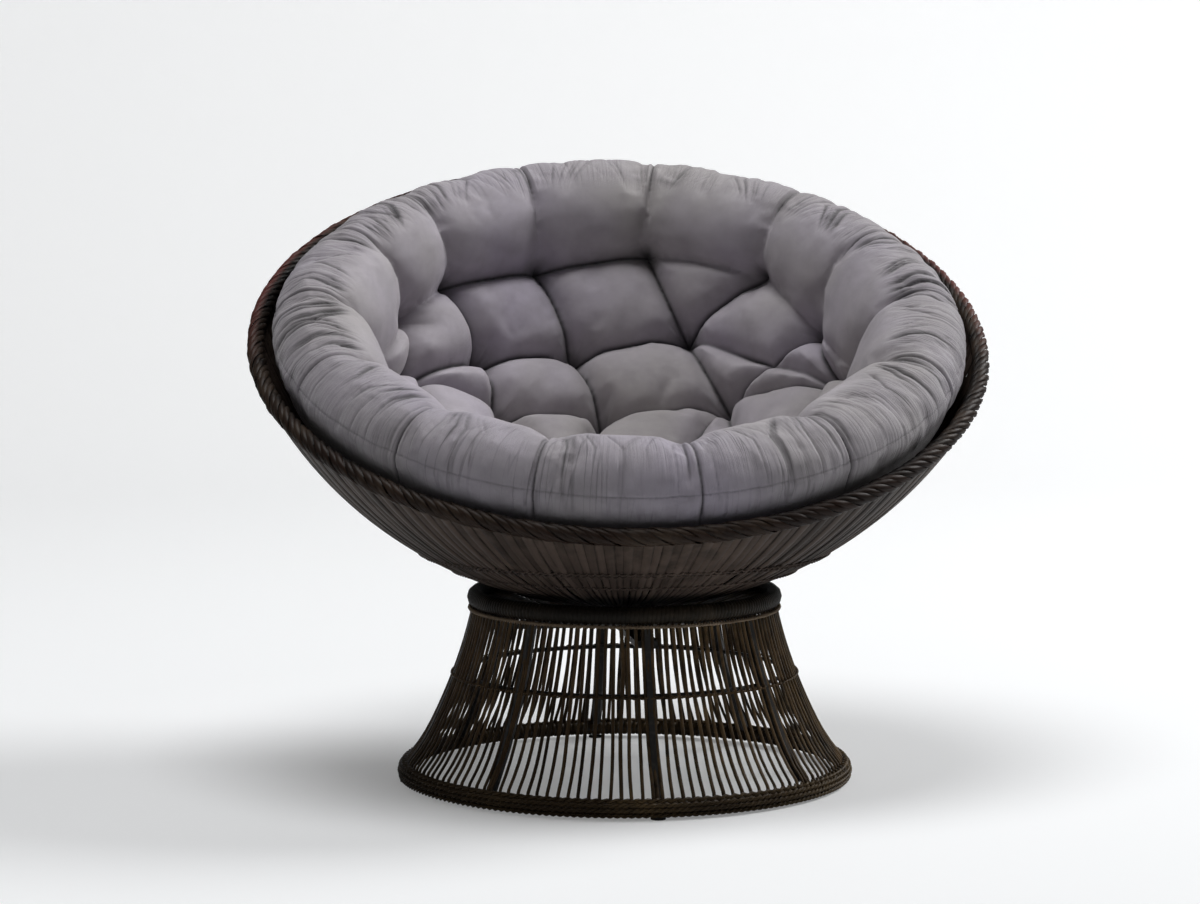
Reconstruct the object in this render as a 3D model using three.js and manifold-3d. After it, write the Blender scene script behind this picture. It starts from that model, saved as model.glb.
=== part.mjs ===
import * as THREE from 'three';
import { mergeVertices } from 'three/addons/utils/BufferGeometryUtils.js';
import Module from 'manifold-3d';

// A papasan chair: a woven bowl, tilted forward, turns on a swivel above a waisted woven base,
// and a deep tufted cushion lies loose in the bowl. Millimetres, +Z up, the sitter faces -Y.
// The origin is on the floor under the centre of the bowl's rim.

const { degToRad } = THREE.MathUtils;
const wasm = await Module();
wasm.setup();

// Shared sizes

const SEAT_GAP = 0.3;              // clearance between two pieces that touch
const HOLE_CLEARANCE = 0.4;        // added to a shank's radius for its hole
const CUT_OVERRUN = 2;             // how far a cutting tool runs past the faces it cuts
const TILT = degToRad(27.3);       // forward lean of the bowl
const CUSHION_SLIP = degToRad(2);  // how far the cushion has settled forward

// Bowl sizes

const RIM_WIDTH = 1040;            // outside diameter of the wrapped rim
const RIM_FALL = degToRad(66.69);  // half the angle that the rim spans on its sphere
const RIM_TUBE_RADIUS = 9;
const RIM_BRAID_HALF_WIDTH = 14;
const RIM_BRAID_HALF_HEIGHT = 11.5;
const RIM_BRAID_LIP = 8.6;         // half width of the braid's open underside
const RIM_INSET = 11;              // the rim's centre line inside the weave's outer face
const WEAVE_THICKNESS = 8;
const RIB_RADIUS = 4;
const RIB_COUNT = 8;
const RIB_CLEARANCE = 1.9;         // lets the ribs' flat steps pass inside the weave's flat facets
const RIB_END_GAP = 11;            // along the rib, from its end to the rim tube's centre line
const HOOP_RADIUS = 4;
const HOOP_CLEARANCE = 0.6;        // lets the hoop's flats pass inside the ribs
const BOWL_HOOP_ANGLE = degToRad(47);
const TWINE_RADIUS = 2.5;
const TWINE_ANGLE = degToRad(30);

// Base sizes

const BASE_WIDTH = 626;            // outside diameter of the lower braid
const RING_TUBE_RADIUS = 8;
const WRAP_THICKNESS = 2.7;
const GLIDE_HEIGHT = 2.7;
const GLIDE_RADIUS = 10;
const GLIDE_COUNT = 4;
const COLLAR_RADIUS = 206.6;       // centre line of the top ring
const COLLAR_HEIGHT = 251;         // floor to the centre of the top ring
const COLLAR_SKIRT = 10.5;         // the collar's half height
const LOWER_BRAID_HEIGHT = 32;
const BRAID_CHAMFER = 5;
const POST_COUNT = 8;
const POST_RADIUS = 7;
const POST_INSET = 4.8;            // posts stand this far inside the strands
const POST_TURN = degToRad(4.1);
const STRAND_HALF_DEPTH = 3;
const STRAND_SAG = 10.9;           // how far the waist curves in from a straight line
const STRAND_TOP_OUTSET = 1.7;     // strands start this far outside the top ring's centre line
const STRAND_FOOT_INSET = 4.2;     // and end this far inside the bottom ring's
const STRANDS_PER_BAY = 7;
const BAY_MARGIN = 1;              // free space between a bay and the post beside it
const BAY_TOP_BAND = 9;
const BAY_FOOT_BAND = 11;
const MID_HOOP_RADIUS = 3;
const MID_HOOP_HEIGHT = 147.5;
const TRIM_RADIUS = 2.5;

// Swivel sizes

const BAR_DROP = 32.85;            // the collar's centre down to the crossbars' top
const BAR_WIDTH = 30;
const BAR_THICKNESS = 8;
const PLATE_SIZE = 150;
const PLATE_THICKNESS = 3;
const PLATE_CORNER = 10;
const RACE_HEIGHT = 6;             // space between the two plates
const RACE_RADIUS = 46;
const BALL_COUNT = 8;
const CAGE_HALF_WIDTH = 5;
const CAGE_THICKNESS = 2;
const PLATE_BOLTS = 4;
const BOLT_CIRCLE = 62;            // radius on which each plate's bolts stand
const BOLT_RADIUS = 3;
const BOLT_HEAD_RADIUS = 6;
const BOLT_HEAD_HEIGHT = 4;
const BOLT_BITE = 6;               // thread length inside a crossbar
const RIVET_RADIUS = 6;
const RIVET_HEAD_RADIUS = 10;
const RIVET_HEAD_HEIGHT = 3;
const RIVET_HEAD_CLEARANCE = 2;
const PAN_RADIUS = 84;
const PAN_THICKNESS = 4;
const PAN_FLANGE = 24;
const PAN_SEAT_CLEARANCE = 2;      // between the pan's wall and the weave around it
const PAN_FLANGE_LIFT = 4;         // between the weave's inside and the flange over it

// Cushion sizes

const CUSHION_CLEARANCE = 1.2;     // outside of the cushion to the hoop under it
const ROLL_RADIUS = 63;            // outer roll
const ROLL_ANGLE = degToRad(63.5);
const PAD_THICKNESS = 112;         // at the crown of a tuft's pillow
const TUFT_DEPTH = 58;
const TUFT_SPREAD = 46;
const SEAM_DEPTH = 7;              // radial seams over the roll
const SEAM_SPREAD = 30;
const TUFT_RINGS = [               // tufts round the cushion's own axis, angles in degrees
  { count: 14, fall: 51, turn: 170 },
  { count: 10, fall: 36.5, turn: 188 },
  { count: 7, fall: 23.5, turn: 183.6 },
  { count: 3, fall: 11, turn: 140 },
];
const DISH_FALLS = [9, 16, 22, 27, 32, 37, 42, 47, 51, 55, 58];
const ROLL_TURNS = [168, 130, 90, 50, 12];
const UNDERSIDE_FALLS = [60, 54, 48, 42, 30, 16];

// Facets

const RING_SEGMENTS = 36;
const RIM_SEGMENTS = 48;
const TUBE_SIDES = 6;              // thin hoops
const WRAPPED_SIDES = 8;           // wrapped rings, whose wraps have a corner at each of theirs
const ROD_SIDES = 6;
const ROUND_SIDES = 16;
const SMALL_SIDES = 8;
const POST_STEPS = 4;
const WEAVE_COLUMNS = 48;
const WEAVE_ROWS = 8;              // the ribs take as many steps, so that their facets run alike
const CUSHION_COLUMNS = 48;

// Sizes worked out from the ones above

const RIM_RADIUS = RIM_WIDTH / 2 - RIM_BRAID_HALF_WIDTH;
const RIM_DEPTH = RIM_RADIUS / Math.tan(RIM_FALL);      // below the sphere's centre, on the bowl's axis
const RIM_SETBACK = RIM_DEPTH * Math.sin(TILT);        // the rim's centre stands this far behind the swivel
const WEAVE_RADIUS = RIM_RADIUS / Math.sin(RIM_FALL) + RIM_INSET;
const WEAVE_INSIDE = WEAVE_RADIUS - WEAVE_THICKNESS;
const RIB_SPHERE = WEAVE_INSIDE - RIB_CLEARANCE - RIB_RADIUS;
const HOOP_SPHERE = RIB_SPHERE - RIB_RADIUS - HOOP_CLEARANCE - HOOP_RADIUS;
const CUSHION_RADIUS = HOOP_SPHERE - HOOP_RADIUS - CUSHION_CLEARANCE;
const WRAP_BORE = RING_TUBE_RADIUS + SEAT_GAP;
const BASE_RING_RADIUS = BASE_WIDTH / 2 - WRAP_BORE - WRAP_THICKNESS;
const BRAID_FLOOR = GLIDE_HEIGHT + SEAT_GAP;
const BASE_RING_HEIGHT = BRAID_FLOOR + WRAP_THICKNESS + WRAP_BORE;
const STRAND_FOOT = BASE_RING_HEIGHT + WRAP_BORE;
const STRAND_TOP = COLLAR_HEIGHT - WRAP_BORE;
const STRAND_FOOT_RADIUS = BASE_RING_RADIUS - STRAND_FOOT_INSET;
const STRAND_TOP_RADIUS = COLLAR_RADIUS + STRAND_TOP_OUTSET;
const BALL_RADIUS = RACE_HEIGHT / 2 - SEAT_GAP;
const BAR_TOP = COLLAR_HEIGHT - BAR_DROP;
const LOWER_PLATE_TOP = BAR_TOP + SEAT_GAP + PLATE_THICKNESS;
const UPPER_PLATE_FLOOR = LOWER_PLATE_TOP + RACE_HEIGHT;
const PAN_FLOOR = UPPER_PLATE_FLOOR + PLATE_THICKNESS + SEAT_GAP;
const SPHERE_HEIGHT = PAN_FLOOR + PAN_THICKNESS + PAN_SEAT_CLEARANCE + WEAVE_RADIUS;
const BOLT_HOLE = BOLT_RADIUS + HOLE_CLEARANCE;
const PIVOT_BORE = RIVET_HEAD_RADIUS + RIVET_HEAD_CLEARANCE;

// Materials

const cane = new THREE.MeshStandardMaterial({ color: 0x3a2a22, roughness: 0.55, metalness: 0 });
const caneLight = new THREE.MeshStandardMaterial({ color: 0x54402f, roughness: 0.5, metalness: 0 });
const braidCane = new THREE.MeshStandardMaterial({ color: 0x2e211b, roughness: 0.6, metalness: 0 });
const blackSteel = new THREE.MeshStandardMaterial({ color: 0x1c1a19, roughness: 0.5, metalness: 0.7 });
const zincSteel = new THREE.MeshStandardMaterial({ color: 0x9a9c9f, roughness: 0.35, metalness: 1 });
const glideRubber = new THREE.MeshStandardMaterial({ color: 0x141414, roughness: 0.8, metalness: 0 });
const greyCloth = new THREE.MeshStandardMaterial({ color: 0x7b7377, roughness: 0.9, metalness: 0 });

// Helpers

function polar(radius, angle, z) {
  return new THREE.Vector3(radius * Math.sin(angle), -radius * Math.cos(angle), z);
}

function spread(count, turn = 0) {
  return Array.from({ length: count }, (_, i) => turn + i * 2 * Math.PI / count);
}

const roundHole = (x, y, radius) => new THREE.Path().absarc(x, y, radius, 0, 2 * Math.PI);

function closedBody(vertices, triangles) {
  const geometry = new THREE.BufferGeometry();
  geometry.setAttribute('position', new THREE.Float32BufferAttribute(vertices.flat(), 3));
  geometry.setIndex(triangles.flat());
  return facingOut(geometry);
}

function facingOut(geometry) {
  const at = geometry.attributes.position;
  const index = geometry.index ? Array.from(geometry.index.array) : [...Array(at.count).keys()];
  const [a, b, c] = [new THREE.Vector3(), new THREE.Vector3(), new THREE.Vector3()];
  let volume = 0;
  for (let i = 0; i < index.length; i += 3) {
    a.fromBufferAttribute(at, index[i]);
    b.fromBufferAttribute(at, index[i + 1]);
    c.fromBufferAttribute(at, index[i + 2]);
    volume += a.dot(b.cross(c));
  }
  if (volume < 0) {
    for (let i = 0; i < index.length; i += 3) [index[i], index[i + 1]] = [index[i + 1], index[i]];
  }
  geometry.setIndex(index);
  return geometry;
}

function solidOf(geometry) {
  const bare = geometry.clone();
  bare.deleteAttribute('normal');
  bare.deleteAttribute('uv');
  const merged = mergeVertices(bare);
  return new wasm.Manifold(new wasm.Mesh({
    numProp: 3,
    vertProperties: new Float32Array(merged.attributes.position.array),
    triVerts: new Uint32Array(merged.index.array),
  }));
}

function geometryOf(solid) {
  const mesh = solid.getMesh();
  const geometry = new THREE.BufferGeometry();
  geometry.setAttribute('position', new THREE.BufferAttribute(mesh.vertProperties, 3));
  geometry.setIndex(new THREE.BufferAttribute(mesh.triVerts, 1));
  return geometry;
}

// A body turned about Z from an outline of [radius, height] points.
function turned(outline, segments) {
  const points = outline.map(([radius, z]) => new THREE.Vector2(radius, z));
  points.push(points[0].clone());
  return facingOut(new THREE.LatheGeometry(points, segments).rotateX(Math.PI / 2));
}

function ring(radius, tubeRadius, sides = TUBE_SIDES, segments = RING_SEGMENTS) {
  return new THREE.TorusGeometry(radius, tubeRadius, sides, segments);
}

function rod(curve, radius, steps) {
  const section = new THREE.Shape().absarc(0, 0, radius, 0, 2 * Math.PI);
  return new THREE.ExtrudeGeometry(section, {
    steps, curveSegments: ROD_SIDES / 2, bevelEnabled: false, extrudePath: curve,
  });
}

// The corner radius of a faceted ring whose flats stay clear of a round surface inside it.
const clearOf = (radius, segments) => (radius + SEAT_GAP) / Math.cos(Math.PI / segments);

// Points of an arc in [radius, height], from one angle to another.
function arc(radius, height, half, from, to, steps, halfHeight = half) {
  return Array.from({ length: steps + 1 }, (_, i) => {
    const angle = from + (to - from) * i / steps;
    return [radius + half * Math.cos(angle), height + halfHeight * Math.sin(angle)];
  });
}

function piece(name, geometry, material, z = 0) {
  const mesh = new THREE.Mesh(geometry, material);
  mesh.name = name;
  mesh.position.z = z;
  return mesh;
}

// Everything round the swivel's axis stands in such a group.
function hubGroup() {
  const group = new THREE.Group();
  group.position.y = -RIM_SETBACK;
  return group;
}

// Base: two wrapped rings, eight bent posts and a skirt of strands between them

const strandFall = (z) => (STRAND_TOP - z) / (STRAND_TOP - STRAND_FOOT);

function strandRadius(z) {
  const fall = strandFall(z);
  const straight = STRAND_TOP_RADIUS + (STRAND_FOOT_RADIUS - STRAND_TOP_RADIUS) * fall;
  return straight - 4 * STRAND_SAG * fall * (1 - fall);
}

const postRadiusAt = (z) => strandRadius(z) - POST_INSET;

function strandSlope(z) {
  const run = STRAND_TOP - STRAND_FOOT;
  return (STRAND_FOOT_RADIUS - STRAND_TOP_RADIUS + 4 * STRAND_SAG * (2 * strandFall(z) - 1)) / run;
}

// How far a post's flat reaches sideways from its centre line, measured level.
const POST_FLAT = POST_RADIUS * Math.cos(Math.PI / ROD_SIDES);
const postReach = (z) => POST_FLAT / Math.cos(Math.atan(strandSlope(z))) + SEAT_GAP;

const endRise = (z) => POST_FLAT * Math.sin(Math.atan(strandSlope(z)));

function post(angle) {
  const top = STRAND_TOP - endRise(STRAND_TOP);
  const foot = STRAND_FOOT - SEAT_GAP + endRise(STRAND_FOOT);
  const middle = (top + foot) / 2;
  const [topRadius, footRadius] = [postRadiusAt(top), postRadiusAt(foot)];
  const controlRadius = 2 * postRadiusAt(middle) - (topRadius + footRadius) / 2;
  const curve = new THREE.QuadraticBezierCurve3(
    polar(topRadius, angle, top),
    polar(controlRadius, angle, middle),
    polar(footRadius, angle, foot),
  );
  return rod(curve, POST_RADIUS, POST_STEPS);
}

// One bay of the skirt: strands from ring to ring, joined along both ends by a twined band.
function bay(fromAngle, toAngle) {
  const levels = [STRAND_FOOT, STRAND_FOOT + BAY_FOOT_BAND];
  const windowTop = STRAND_TOP - BAY_TOP_BAND;
  const windowFoot = levels[1];
  for (let i = 1; i < POST_STEPS - 1; i++) {
    levels.push(windowFoot + (windowTop - windowFoot) * i / (POST_STEPS - 1));
  }
  levels.push(windowTop, STRAND_TOP);
  const lines = 2 * STRANDS_PER_BAY;
  const isSolid = (row, line) => row === 0 || row === levels.length - 2 || line % 2 === 0;
  const vertices = [];
  const vertexOf = (face, row, line) => (face * levels.length + row) * lines + line;
  for (const side of [-1, 1]) {
    for (const z of levels) {
      const radius = strandRadius(z);
      const margin = (POST_RADIUS + BAY_MARGIN) / radius;
      for (let line = 0; line < lines; line++) {
        const angle = fromAngle + margin + (toAngle - fromAngle - 2 * margin) * line / (lines - 1);
        vertices.push(polar(radius + side * STRAND_HALF_DEPTH, angle, z).toArray());
      }
    }
  }
  const triangles = [];
  const quad = (a, b, c, d) => triangles.push([a, b, c], [a, c, d]);
  for (let row = 0; row < levels.length - 1; row++) {
    for (let line = 0; line < lines - 1; line++) {
      if (!isSolid(row, line)) continue;
      const corner = (face, up, along) => vertexOf(face, row + up, line + along);
      quad(corner(1, 0, 0), corner(1, 0, 1), corner(1, 1, 1), corner(1, 1, 0));
      quad(corner(0, 1, 0), corner(0, 1, 1), corner(0, 0, 1), corner(0, 0, 0));
      const free = (rowStep, lineStep) => {
        const [r, l] = [row + rowStep, line + lineStep];
        return r < 0 || l < 0 || r > levels.length - 2 || l > lines - 2 || !isSolid(r, l);
      };
      if (free(-1, 0)) quad(corner(0, 0, 0), corner(0, 0, 1), corner(1, 0, 1), corner(1, 0, 0));
      if (free(1, 0)) quad(corner(1, 1, 0), corner(1, 1, 1), corner(0, 1, 1), corner(0, 1, 0));
      if (free(0, -1)) quad(corner(0, 1, 0), corner(0, 0, 0), corner(1, 0, 0), corner(1, 1, 0));
      if (free(0, 1)) quad(corner(1, 1, 1), corner(1, 0, 1), corner(0, 0, 1), corner(0, 1, 1));
    }
  }
  return closedBody(vertices, triangles);
}

// The top ring's wrap, open below so that posts and strands reach the ring.
function collarWrap() {
  const outside = WRAP_BORE + WRAP_THICKNESS;
  const skirt = COLLAR_HEIGHT - COLLAR_SKIRT;
  const top = COLLAR_HEIGHT + COLLAR_SKIRT;
  const shoulder = top - BRAID_CHAMFER;
  return turned([
    [COLLAR_RADIUS + WRAP_BORE, skirt],
    [COLLAR_RADIUS + outside, skirt],
    [COLLAR_RADIUS + outside, shoulder],
    [COLLAR_RADIUS + outside - BRAID_CHAMFER, top],
    [COLLAR_RADIUS - outside + BRAID_CHAMFER, top],
    [COLLAR_RADIUS - outside, shoulder],
    [COLLAR_RADIUS - outside, skirt],
    [COLLAR_RADIUS - WRAP_BORE, skirt],
    ...arc(COLLAR_RADIUS, COLLAR_HEIGHT, WRAP_BORE, Math.PI, 0, WRAPPED_SIDES / 2),
  ], RING_SEGMENTS);
}

// The braid round the bottom ring: its outer wall climbs the strands, its inner wall stays low.
function lowerBraid() {
  const outside = WRAP_BORE + WRAP_THICKNESS;
  const top = BRAID_FLOOR + LOWER_BRAID_HEIGHT;
  const strandFace = (z) => clearOf(strandRadius(z) + STRAND_HALF_DEPTH, RING_SEGMENTS);
  const innerLip = STRAND_FOOT - SEAT_GAP;
  const boreSteps = 3 * WRAPPED_SIDES / 4;
  const boreFaces = arc(BASE_RING_RADIUS, BASE_RING_HEIGHT, WRAP_BORE, Math.PI / 2, -Math.PI, boreSteps);
  return turned([
    [BASE_RING_RADIUS - outside + BRAID_CHAMFER, BRAID_FLOOR],
    [BASE_RING_RADIUS + outside - BRAID_CHAMFER, BRAID_FLOOR],
    [BASE_RING_RADIUS + outside, BRAID_FLOOR + BRAID_CHAMFER],
    [BASE_RING_RADIUS + outside, STRAND_FOOT],
    [strandFace(top) + BRAID_CHAMFER, top],
    [strandFace(top), top],
    [strandFace(STRAND_FOOT), STRAND_FOOT + SEAT_GAP],
    ...boreFaces,
    [BASE_RING_RADIUS - WRAP_BORE, innerLip],
    [BASE_RING_RADIUS - outside, innerLip],
    [BASE_RING_RADIUS - outside, BRAID_FLOOR + BRAID_CHAMFER],
  ], RING_SEGMENTS);
}

// A flat bar under the swivel, with a hole for each bolt and, in the long bar, for the rivet's head.
function crossbar(from, to, angle, boltsAt, hasPivot) {
  const half = BAR_WIDTH / 2;
  const outline = new THREE.Shape([
    new THREE.Vector2(from, -half),
    new THREE.Vector2(to, -half),
    new THREE.Vector2(to, half),
    new THREE.Vector2(from, half),
  ]);
  for (const at of boltsAt) outline.holes.push(roundHole(at, 0, BOLT_HOLE));
  if (hasPivot) outline.holes.push(roundHole(0, 0, PIVOT_BORE));
  const bar = new THREE.ExtrudeGeometry(outline, {
    depth: BAR_THICKNESS, bevelEnabled: false, curveSegments: SMALL_SIDES / 2,
  });
  return bar.rotateZ(angle - Math.PI / 2).translate(0, 0, BAR_TOP - BAR_THICKNESS);
}

const BAR_REACH = postRadiusAt(BAR_TOP) - postReach(BAR_TOP);

function base() {
  const group = hubGroup();
  const bottomRing = ring(BASE_RING_RADIUS, RING_TUBE_RADIUS, WRAPPED_SIDES);
  const topRing = ring(COLLAR_RADIUS, RING_TUBE_RADIUS, WRAPPED_SIDES);
  group.add(piece('base_bottom_ring', bottomRing, blackSteel, BASE_RING_HEIGHT));
  group.add(piece('base_top_ring', topRing, blackSteel, COLLAR_HEIGHT));
  const hoopRadius = postRadiusAt(MID_HOOP_HEIGHT) - postReach(MID_HOOP_HEIGHT) - MID_HOOP_RADIUS;
  group.add(piece('base_mid_hoop', ring(hoopRadius, MID_HOOP_RADIUS), blackSteel, MID_HOOP_HEIGHT));
  const postAngles = spread(POST_COUNT, POST_TURN);
  postAngles.forEach((angle, i) => {
    group.add(piece(`base_post_${i + 1}`, post(angle), blackSteel));
    group.add(piece(`base_weave_bay_${i + 1}`, bay(angle, angle + 2 * Math.PI / POST_COUNT), cane));
  });
  group.add(piece('base_collar_wrap', collarWrap(), braidCane));
  group.add(piece('base_lower_braid', lowerBraid(), braidCane));
  const trimHeight = COLLAR_HEIGHT - COLLAR_SKIRT - SEAT_GAP - TRIM_RADIUS;
  const trimBore = clearOf(strandRadius(trimHeight) + STRAND_HALF_DEPTH, RING_SEGMENTS);
  const trimRadius = trimBore + TRIM_RADIUS;
  group.add(piece('base_upper_trim', ring(trimRadius, TRIM_RADIUS), caneLight, trimHeight));
  spread(GLIDE_COUNT, POST_TURN).forEach((angle, i) => {
    const glide = new THREE.CylinderGeometry(GLIDE_RADIUS, GLIDE_RADIUS, GLIDE_HEIGHT, ROUND_SIDES);
    const mesh = piece(`base_glide_${i + 1}`, glide.rotateX(Math.PI / 2), glideRubber);
    mesh.position.copy(polar(BASE_RING_RADIUS, angle, GLIDE_HEIGHT / 2));
    group.add(mesh);
  });
  const inner = BAR_WIDTH / 2 + SEAT_GAP;
  const crossAngle = POST_TURN + Math.PI / 2;
  const longBar = crossbar(-BAR_REACH, BAR_REACH, POST_TURN, [-BOLT_CIRCLE, BOLT_CIRCLE], true);
  const halfBar = crossbar(inner, BAR_REACH, crossAngle, [BOLT_CIRCLE], false);
  const otherHalfBar = crossbar(-BAR_REACH, -inner, crossAngle, [-BOLT_CIRCLE], false);
  group.add(piece('crossbar_long', longBar, blackSteel));
  group.add(piece('crossbar_half_1', halfBar, blackSteel));
  group.add(piece('crossbar_half_2', otherHalfBar, blackSteel));
  return group;
}

// Swivel: two square plates with a caged ring of balls between them, held by a rivet

function plate(boltTurn) {
  const half = PLATE_SIZE / 2;
  const inner = half - PLATE_CORNER;
  const outline = new THREE.Shape();
  outline.moveTo(inner, -half);
  outline.lineTo(half, -inner);
  outline.lineTo(half, inner);
  outline.lineTo(inner, half);
  outline.lineTo(-inner, half);
  outline.lineTo(-half, inner);
  outline.lineTo(-half, -inner);
  outline.lineTo(-inner, -half);
  outline.holes.push(roundHole(0, 0, clearOf(RIVET_RADIUS, SMALL_SIDES)));
  for (const angle of spread(PLATE_BOLTS, boltTurn)) {
    const at = polar(BOLT_CIRCLE, angle, 0);
    outline.holes.push(roundHole(at.x, at.y, BOLT_HOLE));
  }
  return new THREE.ExtrudeGeometry(outline, {
    depth: PLATE_THICKNESS, bevelEnabled: false, curveSegments: SMALL_SIDES / 2,
  });
}

// A round-headed bolt standing on z = 0, its shank reaching down.
function bolt(shankLength) {
  return turned([
    [0, -shankLength],
    [BOLT_RADIUS, -shankLength],
    [BOLT_RADIUS, 0],
    [BOLT_HEAD_RADIUS, 0],
    [BOLT_HEAD_RADIUS, BOLT_HEAD_HEIGHT / 2],
    [BOLT_HEAD_RADIUS / 2, BOLT_HEAD_HEIGHT],
    [0, BOLT_HEAD_HEIGHT],
  ], SMALL_SIDES);
}

// Both heads stand clear of the plates, so that the upper plate turns freely.
function pivotRivet() {
  const lowHead = LOWER_PLATE_TOP - PLATE_THICKNESS - SEAT_GAP;
  const highHead = UPPER_PLATE_FLOOR + PLATE_THICKNESS + SEAT_GAP;
  return turned([
    [0, lowHead - RIVET_HEAD_HEIGHT],
    [RIVET_HEAD_RADIUS, lowHead - RIVET_HEAD_HEIGHT],
    [RIVET_HEAD_RADIUS, lowHead],
    [RIVET_RADIUS, lowHead],
    [RIVET_RADIUS, highHead],
    [RIVET_HEAD_RADIUS, highHead],
    [RIVET_HEAD_RADIUS, highHead + RIVET_HEAD_HEIGHT],
    [0, highHead + RIVET_HEAD_HEIGHT],
  ], SMALL_SIDES);
}

function ballCage() {
  const half = CAGE_THICKNESS / 2;
  let solid = solidOf(turned([
    [RACE_RADIUS - CAGE_HALF_WIDTH, -half],
    [RACE_RADIUS + CAGE_HALF_WIDTH, -half],
    [RACE_RADIUS + CAGE_HALF_WIDTH, half],
    [RACE_RADIUS - CAGE_HALF_WIDTH, half],
  ], 2 * BALL_COUNT));
  for (const angle of spread(BALL_COUNT)) {
    const ball = new THREE.SphereGeometry(BALL_RADIUS, SMALL_SIDES, SMALL_SIDES / 2);
    ball.translate(...polar(RACE_RADIUS, angle, 0).toArray());
    solid = solid.add(solidOf(ball));
  }
  return geometryOf(solid);
}

function boltsOn(group, name, turn, shankLength, height) {
  spread(PLATE_BOLTS, turn).forEach((angle, i) => {
    const mesh = piece(`${name}_${i + 1}`, bolt(shankLength), zincSteel);
    mesh.position.copy(polar(BOLT_CIRCLE, angle, height));
    group.add(mesh);
  });
}

function swivel() {
  const group = hubGroup();
  const upperTurn = POST_TURN + Math.PI / 4;
  const lower = plate(0).rotateZ(POST_TURN);
  group.add(piece('swivel_lower_plate', lower, zincSteel, LOWER_PLATE_TOP - PLATE_THICKNESS));
  group.add(piece('swivel_ball_cage', ballCage(), zincSteel, LOWER_PLATE_TOP + RACE_HEIGHT / 2));
  group.add(piece('swivel_pivot_rivet', pivotRivet(), zincSteel));
  const shank = PLATE_THICKNESS + BOLT_BITE;
  boltsOn(group, 'lower_plate_bolt', POST_TURN, shank, LOWER_PLATE_TOP + SEAT_GAP);
  const upper = plate(Math.PI / 4).rotateZ(POST_TURN);
  group.add(piece('swivel_upper_plate', upper, zincSteel, UPPER_PLATE_FLOOR));
  const panShank = PLATE_THICKNESS + PAN_THICKNESS;
  boltsOn(group, 'upper_plate_bolt', upperTurn, panShank, PAN_FLOOR + PAN_THICKNESS + SEAT_GAP);
  return group;
}

// Bowl: a pressed pan on the swivel carries eight ribs up to the rim, under a woven shell

function hubPan() {
  const weaveInsideAt = (radius) => SPHERE_HEIGHT - Math.sqrt(WEAVE_INSIDE ** 2 - radius ** 2);
  const flangeRadius = PAN_RADIUS + PAN_FLANGE;
  const flangeFloor = weaveInsideAt(flangeRadius) + PAN_FLANGE_LIFT;
  const inside = PAN_RADIUS - PAN_THICKNESS;
  const pan = turned([
    [PIVOT_BORE, PAN_FLOOR],
    [PAN_RADIUS, PAN_FLOOR],
    [PAN_RADIUS, flangeFloor],
    [flangeRadius, flangeFloor],
    [flangeRadius, flangeFloor + PAN_THICKNESS],
    [inside, flangeFloor + PAN_THICKNESS],
    [inside, PAN_FLOOR + PAN_THICKNESS],
    [PIVOT_BORE, PAN_FLOOR + PAN_THICKNESS],
  ], RING_SEGMENTS);
  let solid = solidOf(pan);
  const holeLength = PAN_THICKNESS + 2 * CUT_OVERRUN;
  for (const angle of spread(PLATE_BOLTS, POST_TURN + Math.PI / 4)) {
    const hole = new THREE.CylinderGeometry(BOLT_HOLE, BOLT_HOLE, holeLength, SMALL_SIDES);
    hole.rotateX(Math.PI / 2);
    hole.translate(...polar(BOLT_CIRCLE, angle, PAN_FLOOR + PAN_THICKNESS / 2).toArray());
    solid = solid.subtract(solidOf(hole));
  }
  return geometryOf(solid);
}

// The angle down from the sphere's centre to a circle that lies `lift` above the rim's plane,
// seen in the upright plane that stands at `turn` round the swivel.
function fallTo(turn, radius, lift) {
  const across = Math.cos(TILT);
  const along = Math.cos(turn) * Math.sin(TILT);
  const reach = (RIM_DEPTH - lift) / radius / Math.hypot(across, along);
  return Math.acos(reach) - Math.atan2(along, across);
}

function onSphere(radius, turn, fall) {
  return polar(radius * Math.sin(fall), turn, -radius * Math.cos(fall));
}

function rib(turn) {
  const flangeRadius = (PAN_RADIUS + PAN_FLANGE) * Math.cos(Math.PI / RING_SEGMENTS) + SEAT_GAP;
  const lean = Math.asin(flangeRadius / RIB_SPHERE);
  const start = lean + RIB_RADIUS * Math.sin(lean) / RIB_SPHERE;
  const end = fallTo(turn, RIB_SPHERE, 0) - RIB_END_GAP / RIB_SPHERE;
  class Meridian extends THREE.Curve {
    getPoint(t, target = new THREE.Vector3()) {
      return target.copy(onSphere(RIB_SPHERE, turn, start + (end - start) * t));
    }
  }
  return rod(new Meridian(), RIB_RADIUS, WEAVE_ROWS);
}

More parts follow.
